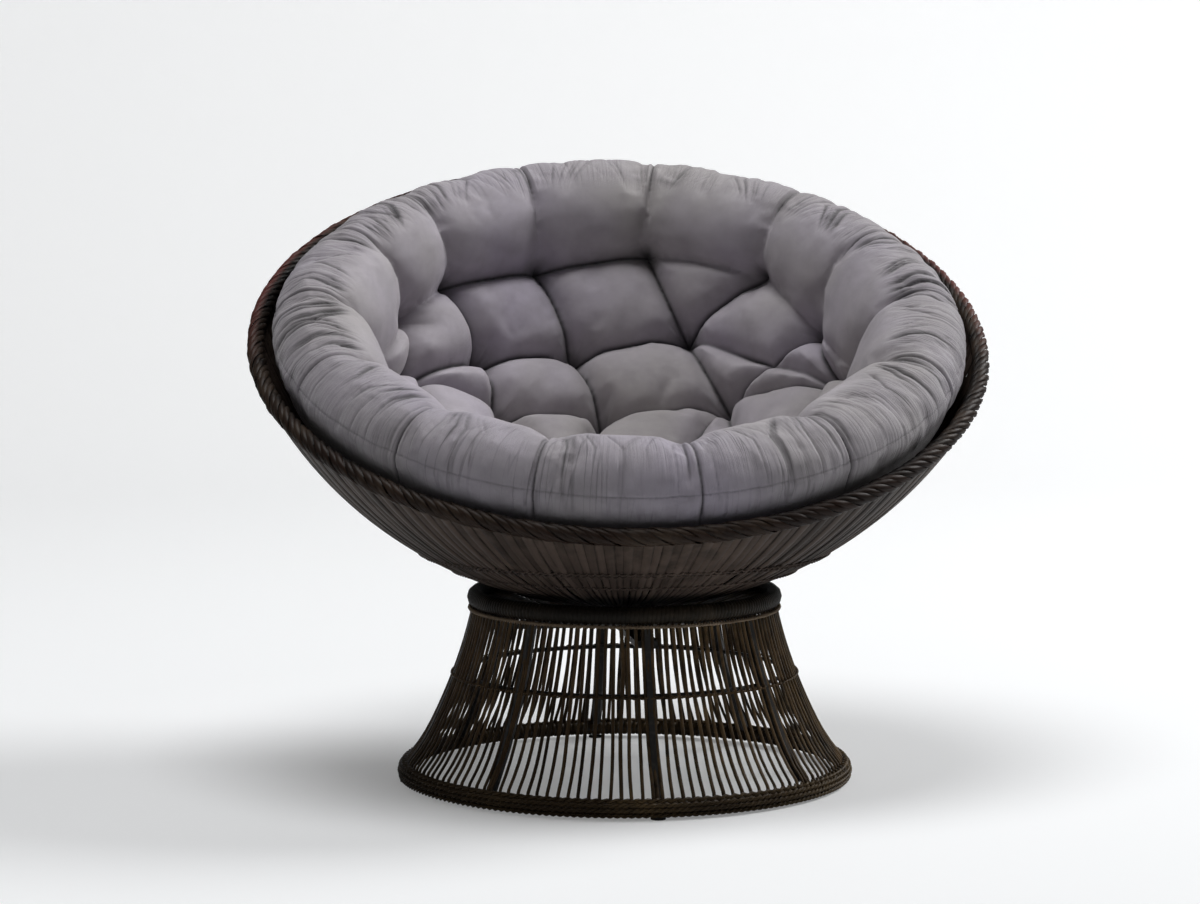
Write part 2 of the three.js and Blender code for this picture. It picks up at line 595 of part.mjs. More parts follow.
// The woven shell, open at the pan and ending against the rim tube.
function weave() {
  const lift = -(RIM_TUBE_RADIUS + SEAT_GAP);
  const hub = PAN_RADIUS + PAN_SEAT_CLEARANCE;
  const vertices = [];
  for (const radius of [WEAVE_RADIUS, WEAVE_INSIDE]) {
    for (let row = 0; row <= WEAVE_ROWS; row++) {
      for (const turn of spread(WEAVE_COLUMNS)) {
        const start = Math.asin(hub / WEAVE_RADIUS);
        const fall = start + (fallTo(turn, radius, lift) - start) * row / WEAVE_ROWS;
        vertices.push(onSphere(radius, turn, fall).toArray());
      }
    }
  }
  const triangles = [];
  const ringAt = (side, row) => (side * (WEAVE_ROWS + 1) + row) * WEAVE_COLUMNS;
  const at = (side, row, column) => ringAt(side, row) + column % WEAVE_COLUMNS;
  const quad = (a, b, c, d) => triangles.push([a, b, c], [a, c, d]);
  for (let column = 0; column < WEAVE_COLUMNS; column++) {
    for (let row = 0; row < WEAVE_ROWS; row++) {
      quad(at(0, row, column), at(0, row, column + 1), at(0, row + 1, column + 1), at(0, row + 1, column));
      quad(at(1, row + 1, column), at(1, row + 1, column + 1), at(1, row, column + 1), at(1, row, column));
    }
    quad(at(1, 0, column), at(1, 0, column + 1), at(0, 0, column + 1), at(0, 0, column));
    const top = WEAVE_ROWS;
    quad(at(0, top, column), at(0, top, column + 1), at(1, top, column + 1), at(1, top, column));
  }
  return closedBody(vertices, triangles);
}

// The rim's braid wraps the tube outside, on top and inside, and leaves the underside open.
function rimBraid() {
  const bore = RIM_TUBE_RADIUS + SEAT_GAP;
  const [width, height] = [RIM_BRAID_HALF_WIDTH, RIM_BRAID_HALF_HEIGHT];
  const lip = Math.acos(RIM_BRAID_LIP / width);
  const outer = arc(RIM_RADIUS, 0, width, -lip, Math.PI, 2 * TUBE_SIDES - 3, height);
  const inner = arc(RIM_RADIUS, 0, bore, Math.PI, 0, WRAPPED_SIDES / 2);
  inner.push([RIM_RADIUS + RIM_BRAID_LIP, -Math.sqrt(bore ** 2 - RIM_BRAID_LIP ** 2)]);
  return turned([...outer, ...inner], RIM_SEGMENTS);
}

function bowl() {
  const upright = new THREE.Group();
  upright.add(piece('bowl_weave', weave(), cane));
  spread(RIB_COUNT, Math.PI / RIB_COUNT).forEach((turn, i) => {
    upright.add(piece(`bowl_rib_${i + 1}`, rib(turn), blackSteel));
  });
  const twineSphere = WEAVE_RADIUS + SEAT_GAP + TWINE_RADIUS;
  const twine = ring(twineSphere * Math.sin(TWINE_ANGLE), TWINE_RADIUS, TUBE_SIDES, WEAVE_COLUMNS);
  upright.add(piece('bowl_twine_ring', twine, caneLight, -twineSphere * Math.cos(TWINE_ANGLE)));
  const tilted = new THREE.Group();
  tilted.rotation.x = TILT;
  const rimTube = ring(RIM_RADIUS, RIM_TUBE_RADIUS, WRAPPED_SIDES, RIM_SEGMENTS);
  tilted.add(piece('bowl_rim_tube', rimTube, blackSteel, -RIM_DEPTH));
  tilted.add(piece('bowl_rim_braid', rimBraid(), braidCane, -RIM_DEPTH));
  const hoopRadius = HOOP_SPHERE * Math.sin(BOWL_HOOP_ANGLE);
  const hoop = ring(hoopRadius, HOOP_RADIUS);
  tilted.add(piece('bowl_hoop', hoop, blackSteel, -HOOP_SPHERE * Math.cos(BOWL_HOOP_ANGLE)));
  const shell = new THREE.Group();
  shell.position.set(0, -RIM_SETBACK, SPHERE_HEIGHT);
  shell.add(upright, tilted);
  const group = new THREE.Group();
  const hub = hubGroup();
  hub.add(piece('bowl_hub_pan', hubPan(), blackSteel));
  group.add(shell, hub);
  return group;
}

// Cushion: one round pad, tufted in rings, with a fat outer roll that rests inside the rim

const tufts = TUFT_RINGS.flatMap(({ count, fall, turn }) => (
  spread(count, degToRad(turn)).map((angle) => onSphere(1, angle, degToRad(fall)))
));

const fade = (distance, reach) => Math.exp(-((distance / reach) ** 2));

function tuftDip(direction) {
  const pull = tufts.map((tuft) => fade(direction.distanceTo(tuft) * CUSHION_RADIUS, TUFT_SPREAD));
  return TUFT_DEPTH * Math.max(...pull);
}

function seamDip(turn) {
  const [outer] = TUFT_RINGS;
  const step = 2 * Math.PI / outer.count;
  const away = (turn - degToRad(outer.turn)) / step;
  return SEAM_DEPTH * fade((away - Math.round(away)) * step * CUSHION_RADIUS, SEAM_SPREAD);
}

function cushionRings() {
  const crown = CUSHION_RADIUS - PAD_THICKNESS;
  const rollCentre = CUSHION_RADIUS - ROLL_RADIUS;
  const rings = [];
  for (const fall of DISH_FALLS.map(degToRad)) {
    rings.push((turn) => {
      const direction = onSphere(1, turn, fall);
      return direction.clone().multiplyScalar(crown + tuftDip(direction));
    });
  }
  for (const bend of ROLL_TURNS.map(degToRad)) {
    rings.push((turn) => {
      const radius = ROLL_RADIUS - seamDip(turn) * Math.max(0, Math.sin(bend));
      const out = rollCentre * Math.sin(ROLL_ANGLE) + radius * Math.cos(bend);
      return polar(out, turn, radius * Math.sin(bend) - rollCentre * Math.cos(ROLL_ANGLE));
    });
  }
  for (const fall of UNDERSIDE_FALLS.map(degToRad)) {
    rings.push((turn) => onSphere(CUSHION_RADIUS, turn, fall));
  }
  return rings;
}

function cushion() {
  const turns = spread(CUSHION_COLUMNS);
  const rings = cushionRings();
  const vertices = rings.flatMap((at) => turns.map((turn) => at(turn).toArray()));
  const foot = onSphere(1, 0, 0);
  const topRadius = CUSHION_RADIUS - PAD_THICKNESS + tuftDip(foot);
  const topPole = vertices.push(foot.clone().multiplyScalar(topRadius).toArray()) - 1;
  const underPole = vertices.push(foot.clone().multiplyScalar(CUSHION_RADIUS).toArray()) - 1;
  const triangles = [];
  const at = (row, column) => row * CUSHION_COLUMNS + column % CUSHION_COLUMNS;
  for (let column = 0; column < CUSHION_COLUMNS; column++) {
    triangles.push([topPole, at(0, column + 1), at(0, column)]);
    for (let row = 0; row < rings.length - 1; row++) {
      triangles.push([at(row, column), at(row, column + 1), at(row + 1, column + 1)]);
      triangles.push([at(row, column), at(row + 1, column + 1), at(row + 1, column)]);
    }
    triangles.push([underPole, at(rings.length - 1, column), at(rings.length - 1, column + 1)]);
  }
  const pad = new THREE.Group();
  pad.position.set(0, -RIM_SETBACK, SPHERE_HEIGHT);
  pad.rotation.x = TILT - CUSHION_SLIP;
  pad.add(piece('seat_cushion', closedBody(vertices, triangles), greyCloth));
  return pad;
}

const chair = new THREE.Group();
chair.add(base(), swivel(), bowl(), cushion());

export default chair;
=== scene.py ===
# %% [markdown]
# # A papasan chair, dressed in Blender
# A round woven bowl, tilted forward, turns on a waisted woven base, and one big tufted cushion lies in it.
# The CAD model is loaded as a fixed frame. Steel that the CAD already has right stays and gets a better
# finish. The weaving and the cushion are modelled here, each in the place of the CAD node it stands for.

# %% Load the frame
import math
import bpy
import numpy as np
from mathutils import Matrix, Vector


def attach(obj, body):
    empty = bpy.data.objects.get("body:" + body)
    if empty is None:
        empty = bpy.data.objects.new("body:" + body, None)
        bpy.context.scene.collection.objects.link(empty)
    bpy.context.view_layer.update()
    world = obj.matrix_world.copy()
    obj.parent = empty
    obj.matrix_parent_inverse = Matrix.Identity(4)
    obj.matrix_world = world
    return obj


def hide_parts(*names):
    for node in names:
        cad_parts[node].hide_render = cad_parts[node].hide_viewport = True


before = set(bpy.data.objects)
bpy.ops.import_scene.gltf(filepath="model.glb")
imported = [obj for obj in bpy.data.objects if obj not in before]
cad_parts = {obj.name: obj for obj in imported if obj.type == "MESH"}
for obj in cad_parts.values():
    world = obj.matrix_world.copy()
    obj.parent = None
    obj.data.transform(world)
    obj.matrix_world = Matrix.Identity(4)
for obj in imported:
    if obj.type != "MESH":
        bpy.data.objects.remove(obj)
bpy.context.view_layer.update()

# %% [markdown]
# ## Sizes shared with the CAD
# The bowl is part of a sphere, and its rim is a circle on it, tilted forward. The base is a waisted skirt
# round the swivel's upright axis. All lengths are metres.

# %% Shared sizes
TILT = math.radians(27.3)
RIM_RADIUS = 0.506
RIM_FALL = math.radians(66.69)
RIM_DEPTH = RIM_RADIUS / math.tan(RIM_FALL)
SETBACK = RIM_DEPTH * math.sin(TILT)
WEAVE_RADIUS = RIM_RADIUS / math.sin(RIM_FALL) + 0.011
SPHERE_HEIGHT = 0.23675 + WEAVE_RADIUS
CENTRE = np.array([0, -SETBACK, SPHERE_HEIGHT])
STRAND_TOP, STRAND_TOP_RADIUS = 0.2427, 0.2083
STRAND_FOOT, STRAND_FOOT_RADIUS = 0.0223, 0.2978
STRAND_SAG = 0.0109
FOOT_FLARE, FLARE_HEIGHT = 0.0078, 0.055
FULL_TURN = 2 * math.pi
rng = np.random.default_rng(7)


def skirt_radius(z):
    """Centre line of the base's strands at height z."""
    z = np.clip(z, STRAND_FOOT, STRAND_TOP)
    fall = (STRAND_TOP - z) / (STRAND_TOP - STRAND_FOOT)
    straight = STRAND_TOP_RADIUS + (STRAND_FOOT_RADIUS - STRAND_TOP_RADIUS) * fall
    flare = FOOT_FLARE * np.maximum(0, 1 - (z - STRAND_FOOT) / FLARE_HEIGHT) ** 2
    return straight - 4 * STRAND_SAG * fall * (1 - fall) + flare


print("swivel axis at y", round(-SETBACK, 4), "sphere centre", CENTRE.round(4))

# %% [markdown]
# ## Camera
# It stands where the photograph was taken from: a long lens, four metres away, a little to the left of the
# front and just above the rim.

# %% Camera
CAMERA_AT = Vector((-0.3075, -4.341, 0.8188))
CAMERA_SIDE, CAMERA_DIP, CAMERA_ROLL = np.radians((3.7, 4.945, 0.14)).tolist()
forward = Vector((math.sin(CAMERA_SIDE) * math.cos(CAMERA_DIP),
                  math.cos(CAMERA_SIDE) * math.cos(CAMERA_DIP), -math.sin(CAMERA_DIP)))
right = Vector((math.cos(CAMERA_SIDE), -math.sin(CAMERA_SIDE), 0))
up = right.cross(forward)
camera = bpy.data.objects.new("camera", bpy.data.cameras.new("camera"))
bpy.context.collection.objects.link(camera)
camera.data.sensor_fit = "HORIZONTAL"
camera.data.sensor_width = 36
camera.data.lens = 92.97
axes = Matrix((right, up, -forward)).transposed().to_4x4()
camera.matrix_world = Matrix.Translation(CAMERA_AT) @ axes @ Matrix.Rotation(-CAMERA_ROLL, 4, "Z")
camera.data.clip_end = 100
bpy.context.scene.camera = camera
bpy.context.scene.view_settings.view_transform = "Standard"
print("camera looks along", tuple(round(v, 3) for v in forward))

# %% [markdown]
# ## Helpers for modelling
# Every piece starts as a primitive, with nothing else selected. A strand is modelled once, as a profile that
# is extruded step by step, and `copies` bends a copy of it into each place. Its UV map runs along it in
# metres, and a shade number keeps any two strands from looking alike.


# %% Modelling helpers
def leave_edit():
    bpy.ops.object.mode_set(mode="OBJECT")


def fresh():
    """Leaves edit mode and deselects everything."""
    if bpy.context.object and bpy.context.object.mode != "OBJECT":
        leave_edit()
    bpy.ops.object.select_all(action="DESELECT")


def active():
    return bpy.context.view_layer.objects.active


def read(items, key, width=1, kind=float):
    """One property of all items, with `width` numbers each."""
    values = np.empty(len(items) * width, dtype=kind)
    items.foreach_get(key, values)
    return values.reshape(-1, width) if width > 1 else values


def norm(rows):
    """The length of each row."""
    return np.linalg.norm(rows, axis=1)


def points_of(obj):
    return read(obj.data.vertices, "co", 3)


def place_points(obj, points):
    obj.data.vertices.foreach_set("co", np.asarray(points, dtype=np.float32).ravel())
    obj.data.update()


def store(obj, name, values):
    """Keeps one number per point under a name, for the materials to read."""
    layer = obj.data.attributes.get(name) or obj.data.attributes.new(name, "FLOAT", "POINT")
    layer.data.foreach_set("value", np.asarray(values, dtype=np.float32))


def store_uv(obj, name, across, along):
    """A UV map from two numbers for each face corner."""
    obj.data.uv_layers.new(name=name).data.foreach_set("uv", np.column_stack([across, along]).ravel())


def face_corners(obj):
    """The point at each face corner."""
    return read(obj.data.loops, "vertex_index", kind=np.int32)


def pick(obj):
    """Selects one object and nothing else."""
    fresh()
    obj.select_set(True)
    bpy.context.view_layer.objects.active = obj


def edit(select="SELECT", kind=None):
    """Enters edit mode and selects everything, or nothing."""
    bpy.ops.object.mode_set(mode="EDIT")
    if kind:
        bpy.ops.mesh.select_mode(type=kind)
    bpy.ops.mesh.select_all(action=select)


def apply_modifier(modifier):
    pick(modifier.id_data)
    bpy.ops.object.modifier_apply(modifier=modifier.name)


def smooth(obj, degrees=60):
    pick(obj)
    bpy.ops.object.shade_smooth_by_angle(angle=math.radians(degrees))


def strand_profile(sides, steps):
    """A strand of unit size: x across, y through, both -1 to 1, and z along it, 0 to 1."""
    fresh()
    bpy.ops.mesh.primitive_circle_add(vertices=sides, radius=1, fill_type="NGON")
    edit()
    for _ in range(steps):
        bpy.ops.mesh.extrude_region_move(TRANSFORM_OT_translate={"value": (0, 0, 1 / steps)})
    bpy.ops.mesh.select_all(action="SELECT")
    bpy.ops.mesh.normals_make_consistent(inside=False)
    leave_edit()
    return active()


CORD_SIDES = 6
AROUND_SCALE, SHADE_OFFSET = 0.004, 3  # a UV map's scale round a strand, and its shift by the shade


def copies(name, template, placings, shades, lengths, edge_painted_shade=0.0):
    """One object of many copies of a template, which then goes. Each placing turns the template's points into
    the scene's. A strand's two edges can be darkened with painted shade."""
    base = points_of(template)
    faces = [tuple(face.vertices) for face in template.data.polygons]
    bpy.data.meshes.remove(template.data)
    count = len(base)
    points = np.concatenate([place(base) for place in placings])
    all_faces = [tuple(i + n * count for i in face) for n in range(len(placings)) for face in faces]
    mesh = bpy.data.meshes.new(name)
    mesh.from_pydata(points.tolist(), [], all_faces)
    obj = bpy.data.objects.new(name, mesh)
    bpy.context.collection.objects.link(obj)
    corners = face_corners(obj)
    along = np.concatenate([base[:, 2] * length for length in lengths])
    around = np.tile(np.arctan2(base[:, 1], base[:, 0]) * AROUND_SCALE, len(placings))
    offsets = np.repeat(shades, count) * SHADE_OFFSET
    store_uv(obj, "UVMap", around[corners] + offsets[corners], along[corners])
    edges = np.tile(np.abs(base[:, 0]) > 0.9, len(placings))
    # Each strand's tone, and painted shade on its two edges.
    store(obj, "shade", np.repeat(shades, count) + edge_painted_shade * edges)
    smooth(obj)
    print(name, "copies", len(placings), "faces", len(mesh.polygons))
    return obj


def ring_piece(name, segments, place, shade, repeats):
    """A closed ring: a circle's edges are extruded once round the section, moved to place(turn, section
    angle), and joined to where they started."""
    fresh()
    bpy.ops.mesh.primitive_circle_add(vertices=segments, radius=1, fill_type="NOTHING")
    obj = active()
    obj.name = obj.data.name = name
    edit()
    for _ in range(CORD_SIDES):
        bpy.ops.mesh.extrude_edges_move(TRANSFORM_OT_translate={"value": (0, 0, 1)})
    leave_edit()
    points = points_of(obj)
    turn = np.arctan2(points[:, 1], points[:, 0])
    section = np.round(points[:, 2]) * FULL_TURN / CORD_SIDES
    place_points(obj, place(turn, section))
    corners = face_corners(obj)
    along = np.mod(turn, FULL_TURN)[corners].reshape(-1, 4)
    along = np.where(along.max(axis=1, keepdims=True) - along > math.pi, along + FULL_TURN, along).ravel()
    store_uv(obj, "UVMap", section[corners] * AROUND_SCALE + shade * SHADE_OFFSET, along * repeats)
    store(obj, "shade", np.full(len(points), shade))
    edit()
    bpy.ops.mesh.remove_doubles(threshold=1e-6)
    bpy.ops.mesh.normals_make_consistent(inside=False)
    leave_edit()
    return obj


def joined(name, pieces):
    pick(pieces[0])
    for obj in pieces:
        obj.select_set(True)
    bpy.ops.object.join()
    obj = active()
    obj.name = obj.data.name = name
    smooth(obj)
    print(name, "faces", len(obj.data.polygons))
    return obj


def round_axis(radius, turn, z):
    """Points round the swivel's upright axis. Turn 0 is the front, and grows towards +X."""
    return np.stack([radius * np.sin(turn), -SETBACK - radius * np.cos(turn), z + 0 * turn], axis=-1)


# %% [markdown]
# ## The base's skirt of strands
# 144 thin round-edged strips run from the foot braid up to the collar, in a waisted curve that flares a
# little at the foot. Three lie side by side over each post. Small differences in width, lean and lie keep
# the skirt from looking machine-made.

# %% Skirt strands
SKIRT_COUNT = 144
SKIRT_HALF_WIDTH, SKIRT_HALF_DEPTH = 0.0027, 0.0021
POST_COUNT = 8
POST_TURN, POST_PITCH = math.radians(4.1), FULL_TURN / POST_COUNT
PER_POST = SKIRT_COUNT // POST_COUNT
CROWDED_PITCH = 0.0059
STRAND_ENDS = (STRAND_TOP - 0.002, STRAND_FOOT - 0.008)
skirt_strand = strand_profile(sides=8, steps=14)


def skirt_placing(index):
    width = SKIRT_HALF_WIDTH * rng.uniform(0.86, 1.1)
    lean = rng.normal(0, 0.0028)
    shift = rng.normal(0, 0.0012)
    lie = rng.uniform(-0.0007, 0.0007)
    wave, phase = rng.uniform(0, 0.0009), rng.uniform(0, FULL_TURN)
    twist = rng.uniform(-0.35, 0.35)
    post, number = divmod(index, PER_POST)
    post_turn = POST_TURN + post * POST_PITCH

    def place(base):
        share = base[:, 2]
        z = STRAND_ENDS[0] + (STRAND_ENDS[1] - STRAND_ENDS[0]) * share
        belly = np.sin(share * math.pi)
        across = base[:, 0] * width * np.cos(twist) - base[:, 1] * SKIRT_HALF_DEPTH * np.sin(twist)
        through = base[:, 1] * SKIRT_HALF_DEPTH * np.cos(twist) + base[:, 0] * width * np.sin(twist)
        middle = skirt_radius(z)
        radius = middle + lie * belly + through
        sway = shift * belly + lean * (share - 0.5) * belly + wave * np.sin(share * 9 + phase)
        crowd = CROWDED_PITCH / middle
        if number < 3:
            turn = post_turn + (number - 1) * crowd
        else:
            turn = post_turn + crowd + (number - 2) / (PER_POST - 2) * (POST_PITCH - 2 * crowd)
        return round_axis(radius, turn + (across + sway) / radius, z)

    return place


placings = [skirt_placing(i) for i in range(SKIRT_COUNT)]
skirt = copies("skirt_strands", skirt_strand, placings, rng.uniform(0, 1, SKIRT_COUNT), [0.24] * SKIRT_COUNT)

# %% [markdown]
# ## Twined rows
# Half way up the skirt, round its foot and low on the bowl, two thin cords are twined: they cross between
# every two strands, one outside while the other is inside.


# %% Twined rows on the base
def cord_pair(name, count, cord, swing, bent, radius, rise=0.4, shade=0.5, step=0.07, points=8):
    """Two cords in opposite phase that wrap `count` strands. `bent` lays a cord's path round the weaving: it
    gets the turn, and how far the path goes out and up."""
    cords = []
    for side in (0, 1):
        def place(turn, section, side=side):
            phase = turn * count / 2 + side * math.pi
            out = swing * np.cos(phase) + cord * np.cos(section)
            return bent(turn, out, rise * swing * np.sin(phase) + cord * np.sin(section))
        cords.append(ring_piece(f"{name}_{side}", count // 2 * points, place, shade + step * side, radius))
    return cords


def twined(name, count, cord, swing, radius, z, **looks):
    """A pair of cords round the base, at a radius and height."""
    def bent(turn, out, up):
        return round_axis(radius + out, turn, z + up)
    return cord_pair(name, count, cord, swing, bent, radius, **looks)


MID_HEIGHT, MID_CORD, MID_SWING = 0.1475, 0.0013, 0.0036
mid_cords = twined("mid_cord", SKIRT_COUNT, MID_CORD, MID_SWING, skirt_radius(MID_HEIGHT), MID_HEIGHT)
mid_row = joined("skirt_twined_row", mid_cords)

# %% [markdown]
# ## Foot braid and wrapped rings
# The foot is a steel ring wrapped in a narrow strip, with three two-strand ropes laid round its outside, and
# two twined rows hold the strands' feet above it. A wrapped strip is a spring that closes on itself: one
# flat ring with hundreds of turns, and a real groove between them catches the light.


# %% Wrapped rings
def wrapped(name, radius, z, oval, wraps, strip, shade):
    """A strip, half-width by half-thickness, wound round a ring whose section is an oval."""
    def place(turn, section):
        through = strip[1] * np.sin(section)
        out = (oval[0] + through) * np.cos(turn * wraps)
        up = (oval[1] + through) * np.sin(turn * wraps)
        return round_axis(radius + out, turn + strip[0] * np.cos(section) / radius, z + up)

    return ring_piece(name, wraps * 10, place, shade, radius * 8)


FOOT_RADIUS, FOOT_HEIGHT = 0.302, 0.0142
FOOT_ROWS = ((0.0196, 0.30), (0.0240, 0.62))
FOOT_ROPES = ((0.0192, 0.0084, 0.55), (0.0130, 0.0098, 0.35), (0.0062, 0.0084, 0.45))
COLLAR_RADIUS, COLLAR_HEIGHT = 0.2066, 0.2525
TRIM_OUTSET, TRIM_HEIGHT = 0.0045, 0.2377
foot = [wrapped("foot_wrap", FOOT_RADIUS, FOOT_HEIGHT, (0.0084, 0.0092), 290, (0.0031, 0.0011), 0.4)]
for number, (z, shade) in enumerate(FOOT_ROWS):
    foot += twined(f"foot_row_{number}", SKIRT_COUNT, 0.0024, 0.0040, skirt_radius(z), z, shade=shade, points=7)
for number, (z, out, shade) in enumerate(FOOT_ROPES):
    radius = FOOT_RADIUS + out
    foot += twined(f"foot_rope_{number}", 208, 0.0018, 0.0016, radius, z, rise=1.0, shade=shade, points=7)
foot_braid = joined("foot_braid", foot)
collar = wrapped("collar_wrapping", COLLAR_RADIUS, COLLAR_HEIGHT, (0.0098, 0.0115), 230, (0.0028, 0.0011), 0.35)
smooth(collar)
radius = skirt_radius(TRIM_HEIGHT) + TRIM_OUTSET
trim = twined("trim_cord", 300, 0.0014, 0.0013, radius, TRIM_HEIGHT, rise=1.0, shade=0.95)
trim = joined("collar_trim_rope", trim)

# %% [markdown]
# ## The base's woven top
# The strands are led over the collar's ring and run on inwards to the swivel, close together, and close the
# base's top as a shallow funnel.

# %% Woven top
TOP_COUNT = 132
TOP_INNER, TOP_OUTER = np.array((0.109, 0.2235)), np.array((0.2, 0.2465))
TOP_HALF_THICKNESS = 0.0012
top_strip = strand_profile(sides=6, steps=6)


def top_placing(index):
    turn = (index + 0.5) * FULL_TURN / TOP_COUNT
    lie, fill = rng.uniform(-0.0006, 0.0006), rng.uniform(0.94, 1.04)

    def place(base):
        radius, z = TOP_INNER[:, None] + (TOP_OUTER - TOP_INNER)[:, None] * base[:, 2]
        across = base[:, 0] * 0.5 * fill * FULL_TURN / TOP_COUNT
        return round_axis(radius, turn + across, z + lie + TOP_HALF_THICKNESS * base[:, 1])

    return place


placings = [top_placing(i) for i in range(TOP_COUNT)]
base_top = copies("base_top_strands", top_strip, placings, rng.uniform(0, 1, TOP_COUNT), [0.1] * TOP_COUNT)

# %% [markdown]
# ## The bowl's strands
# 170 flat strips fan out over a sphere, from the swivel's pan to where each one's meridian meets the tilted
# rim. They narrow towards the pan, where they crowd. Near the rim they close up, and every second one lies a
# little deeper, under its neighbours. Their edges are darkened with painted shade.

# %% Bowl strands
BOWL_COUNT = 170
HUB_RADIUS = 0.087
STRIP_RADIUS = WEAVE_RADIUS - 0.004
STRIP_HALF_THICKNESS = 0.0018
STRIP_OVERLAP, STRIP_DEEPER = 1.2, 0.0013
bowl_strip = strand_profile(sides=8, steps=26)


def fall_to_rim(turn, lift):
    """Angle from straight down to the rim's plane, on the meridian at `turn`."""
    across, along = math.cos(TILT), math.cos(turn) * math.sin(TILT)
    reach = (RIM_DEPTH - lift) / STRIP_RADIUS / math.hypot(across, along)
    return math.acos(reach) - math.atan2(along, across)


def on_sphere(radius, turn, fall):
    """Points round the sphere's centre. Fall is the angle from straight down."""
    x = radius * np.sin(fall) * np.sin(turn)
    y = -radius * np.sin(fall) * np.cos(turn)
    return np.stack([x, y, -radius * np.cos(fall)], axis=-1) + CENTRE


def strip_turn(index):
    return (index + 0.5) * FULL_TURN / BOWL_COUNT


def bowl_placing(index):
    turn = strip_turn(index)
    start = math.asin(HUB_RADIUS / STRIP_RADIUS)
    end = fall_to_rim(turn, -0.004)
    fill = rng.uniform(0.78, 0.9)
    shift = rng.normal(0, 0.0011)
    lie = rng.uniform(-0.0008, 0.0008)
    twist = rng.uniform(-0.12, 0.12)
    wave, phase = rng.uniform(0, 0.0012), rng.uniform(0, FULL_TURN)

    def place(base):
        share = base[:, 2]
        fall = start + (end - start) * share
        level, belly = STRIP_RADIUS * np.sin(fall), np.sin(share * math.pi)
        closed = fill + (STRIP_OVERLAP - fill) * np.clip(share * 2.0 - 0.5, 0, 1)
        half = np.minimum(0.0085 + 0.0045 * share ** 2, 0.5 * closed * FULL_TURN * level / BOWL_COUNT)
        across = base[:, 0] * half
        through = base[:, 1] * STRIP_HALF_THICKNESS + across * twist * (1 - 0.85 * share)
        sway = (shift + wave * np.sin(share * 11 + phase)) * belly * (1 - 0.6 * share)
        radius = STRIP_RADIUS + lie * belly - index % 2 * STRIP_DEEPER * share + through
        return on_sphere(radius, turn + (across + sway) / level, fall)

    return place


placings = [bowl_placing(i) for i in range(BOWL_COUNT)]
lengths = [STRIP_RADIUS * fall_to_rim(strip_turn(i), 0) for i in range(BOWL_COUNT)]
shades = rng.uniform(0.1, 1.1, BOWL_COUNT)
# The strips' edges are darkened with painted shade.
bowl_strands = copies("bowl_strands", bowl_strip, placings, shades, lengths, edge_painted_shade=-1.5)

# %% [markdown]
# ## Twined rows low on the bowl
# Three pairs of twined cords cross the strips near the bottom, along level circles, two of them close together.


# %% Twined rows on the bowl
def bowl_twined(name, fall, shade):
    """A pair of cords on the bowl, at an angle from straight down."""
    def bent(turn, out, up):
        return on_sphere(STRIP_RADIUS + out, turn, fall + up / STRIP_RADIUS)
    level = STRIP_RADIUS * math.sin(fall)
    return cord_pair(name, BOWL_COUNT, 0.0014, 0.0029, bent, level, rise=0.5, shade=shade, step=0.06)


BOWL_ROWS = ((30.4, 0.7), (29.6, 0.5), (25.2, 0.6))
row_cords = []
for number, (degrees, shade) in enumerate(BOWL_ROWS):
    row_cords += bowl_twined(f"bowl_row_{number}", math.radians(degrees), shade)
bowl_rows = joined("bowl_twined_rows", row_cords)

# %% [markdown]
# ## The rim's braid
# The ends of the strands are laid round the rim's tube like a rope: three bundles of two strips, side by
# side, wound at a long slant. Six closed springs of 32 turns give 96 bumps round the rim.

# %% Rim braid
RIM_TURNS = 32
BUNDLES = 3
ROPE_RADIUS, ROPE_OUTSET = 0.0103, 0.0009
SLANT = math.radians(36)
RIM_STRIP, UNEVEN = (0.0043, 0.0016), 0.0006
rim_normal = np.array([0, -math.sin(TILT), math.cos(TILT)])
rim_back = np.array([0, math.cos(TILT), math.sin(TILT)])
rim_centre = CENTRE - RIM_DEPTH * rim_normal


def rim_strip(bundle, side):
    offset = bundle * FULL_TURN / BUNDLES + side * 0.98

    def place(turn, section):
        phase = turn * RIM_TURNS + offset
        uneven = UNEVEN * (np.sin(turn * 37 + offset * 2) + np.sin(turn * 91 + bundle))
        across = RIM_STRIP[0] * np.cos(section)
        through = RIM_STRIP[1] * np.sin(section) + 0.0007 * side + uneven * np.cos(section - 0.6)
        around = phase - math.cos(SLANT) * across / ROPE_RADIUS
        out = ROPE_OUTSET + (ROPE_RADIUS + through) * np.cos(around)
        high = (ROPE_RADIUS + through) * np.sin(around)
        angle = turn + math.sin(SLANT) * across / RIM_RADIUS
        radius = (RIM_RADIUS + out)[:, None]
        flat = radius * (np.sin(angle)[:, None] * np.array([1, 0, 0]) + np.cos(angle)[:, None] * rim_back)
        return rim_centre + flat + high[:, None] * rim_normal

    shade = 0.25 + 0.2 * bundle + 0.15 * side
    return ring_piece(f"rim_strip_{bundle}_{side}", RIM_TURNS * 18, place, shade, RIM_RADIUS * 1.5)


rim_braid = joined("rim_rope_braid", [rim_strip(b, s) for b in range(BUNDLES) for s in (0, 1)])

# %% [markdown]
# The rope's inner side, towards the cushion, is darkened with painted shade. High up at the sides, where light
# and hands reach it, the stain has turned red.

# %% Rim shades
INNER_SIDE = -0.002
spots = points_of(rim_braid) - rim_centre
outward = np.hypot(spots[:, 0], spots @ rim_back) - RIM_RADIUS
shades = read(rim_braid.data.attributes["shade"].data, "value")
# Painted shade on the rope's inner side, towards the cushion.
store(rim_braid, "shade", shades + np.where(outward < INNER_SIDE, -0.9, 0))
high = np.clip((spots[:, 2] + 0.03) / 0.12, 0, 1) * np.clip(1.35 - spots[:, 2] / 0.17, 0, 1)
store(rim_braid, "redness", high * np.clip((outward - INNER_SIDE) / 0.006, 0, 1))
print("rope points", len(spots), "turned red", int((high > 0.5).sum()))

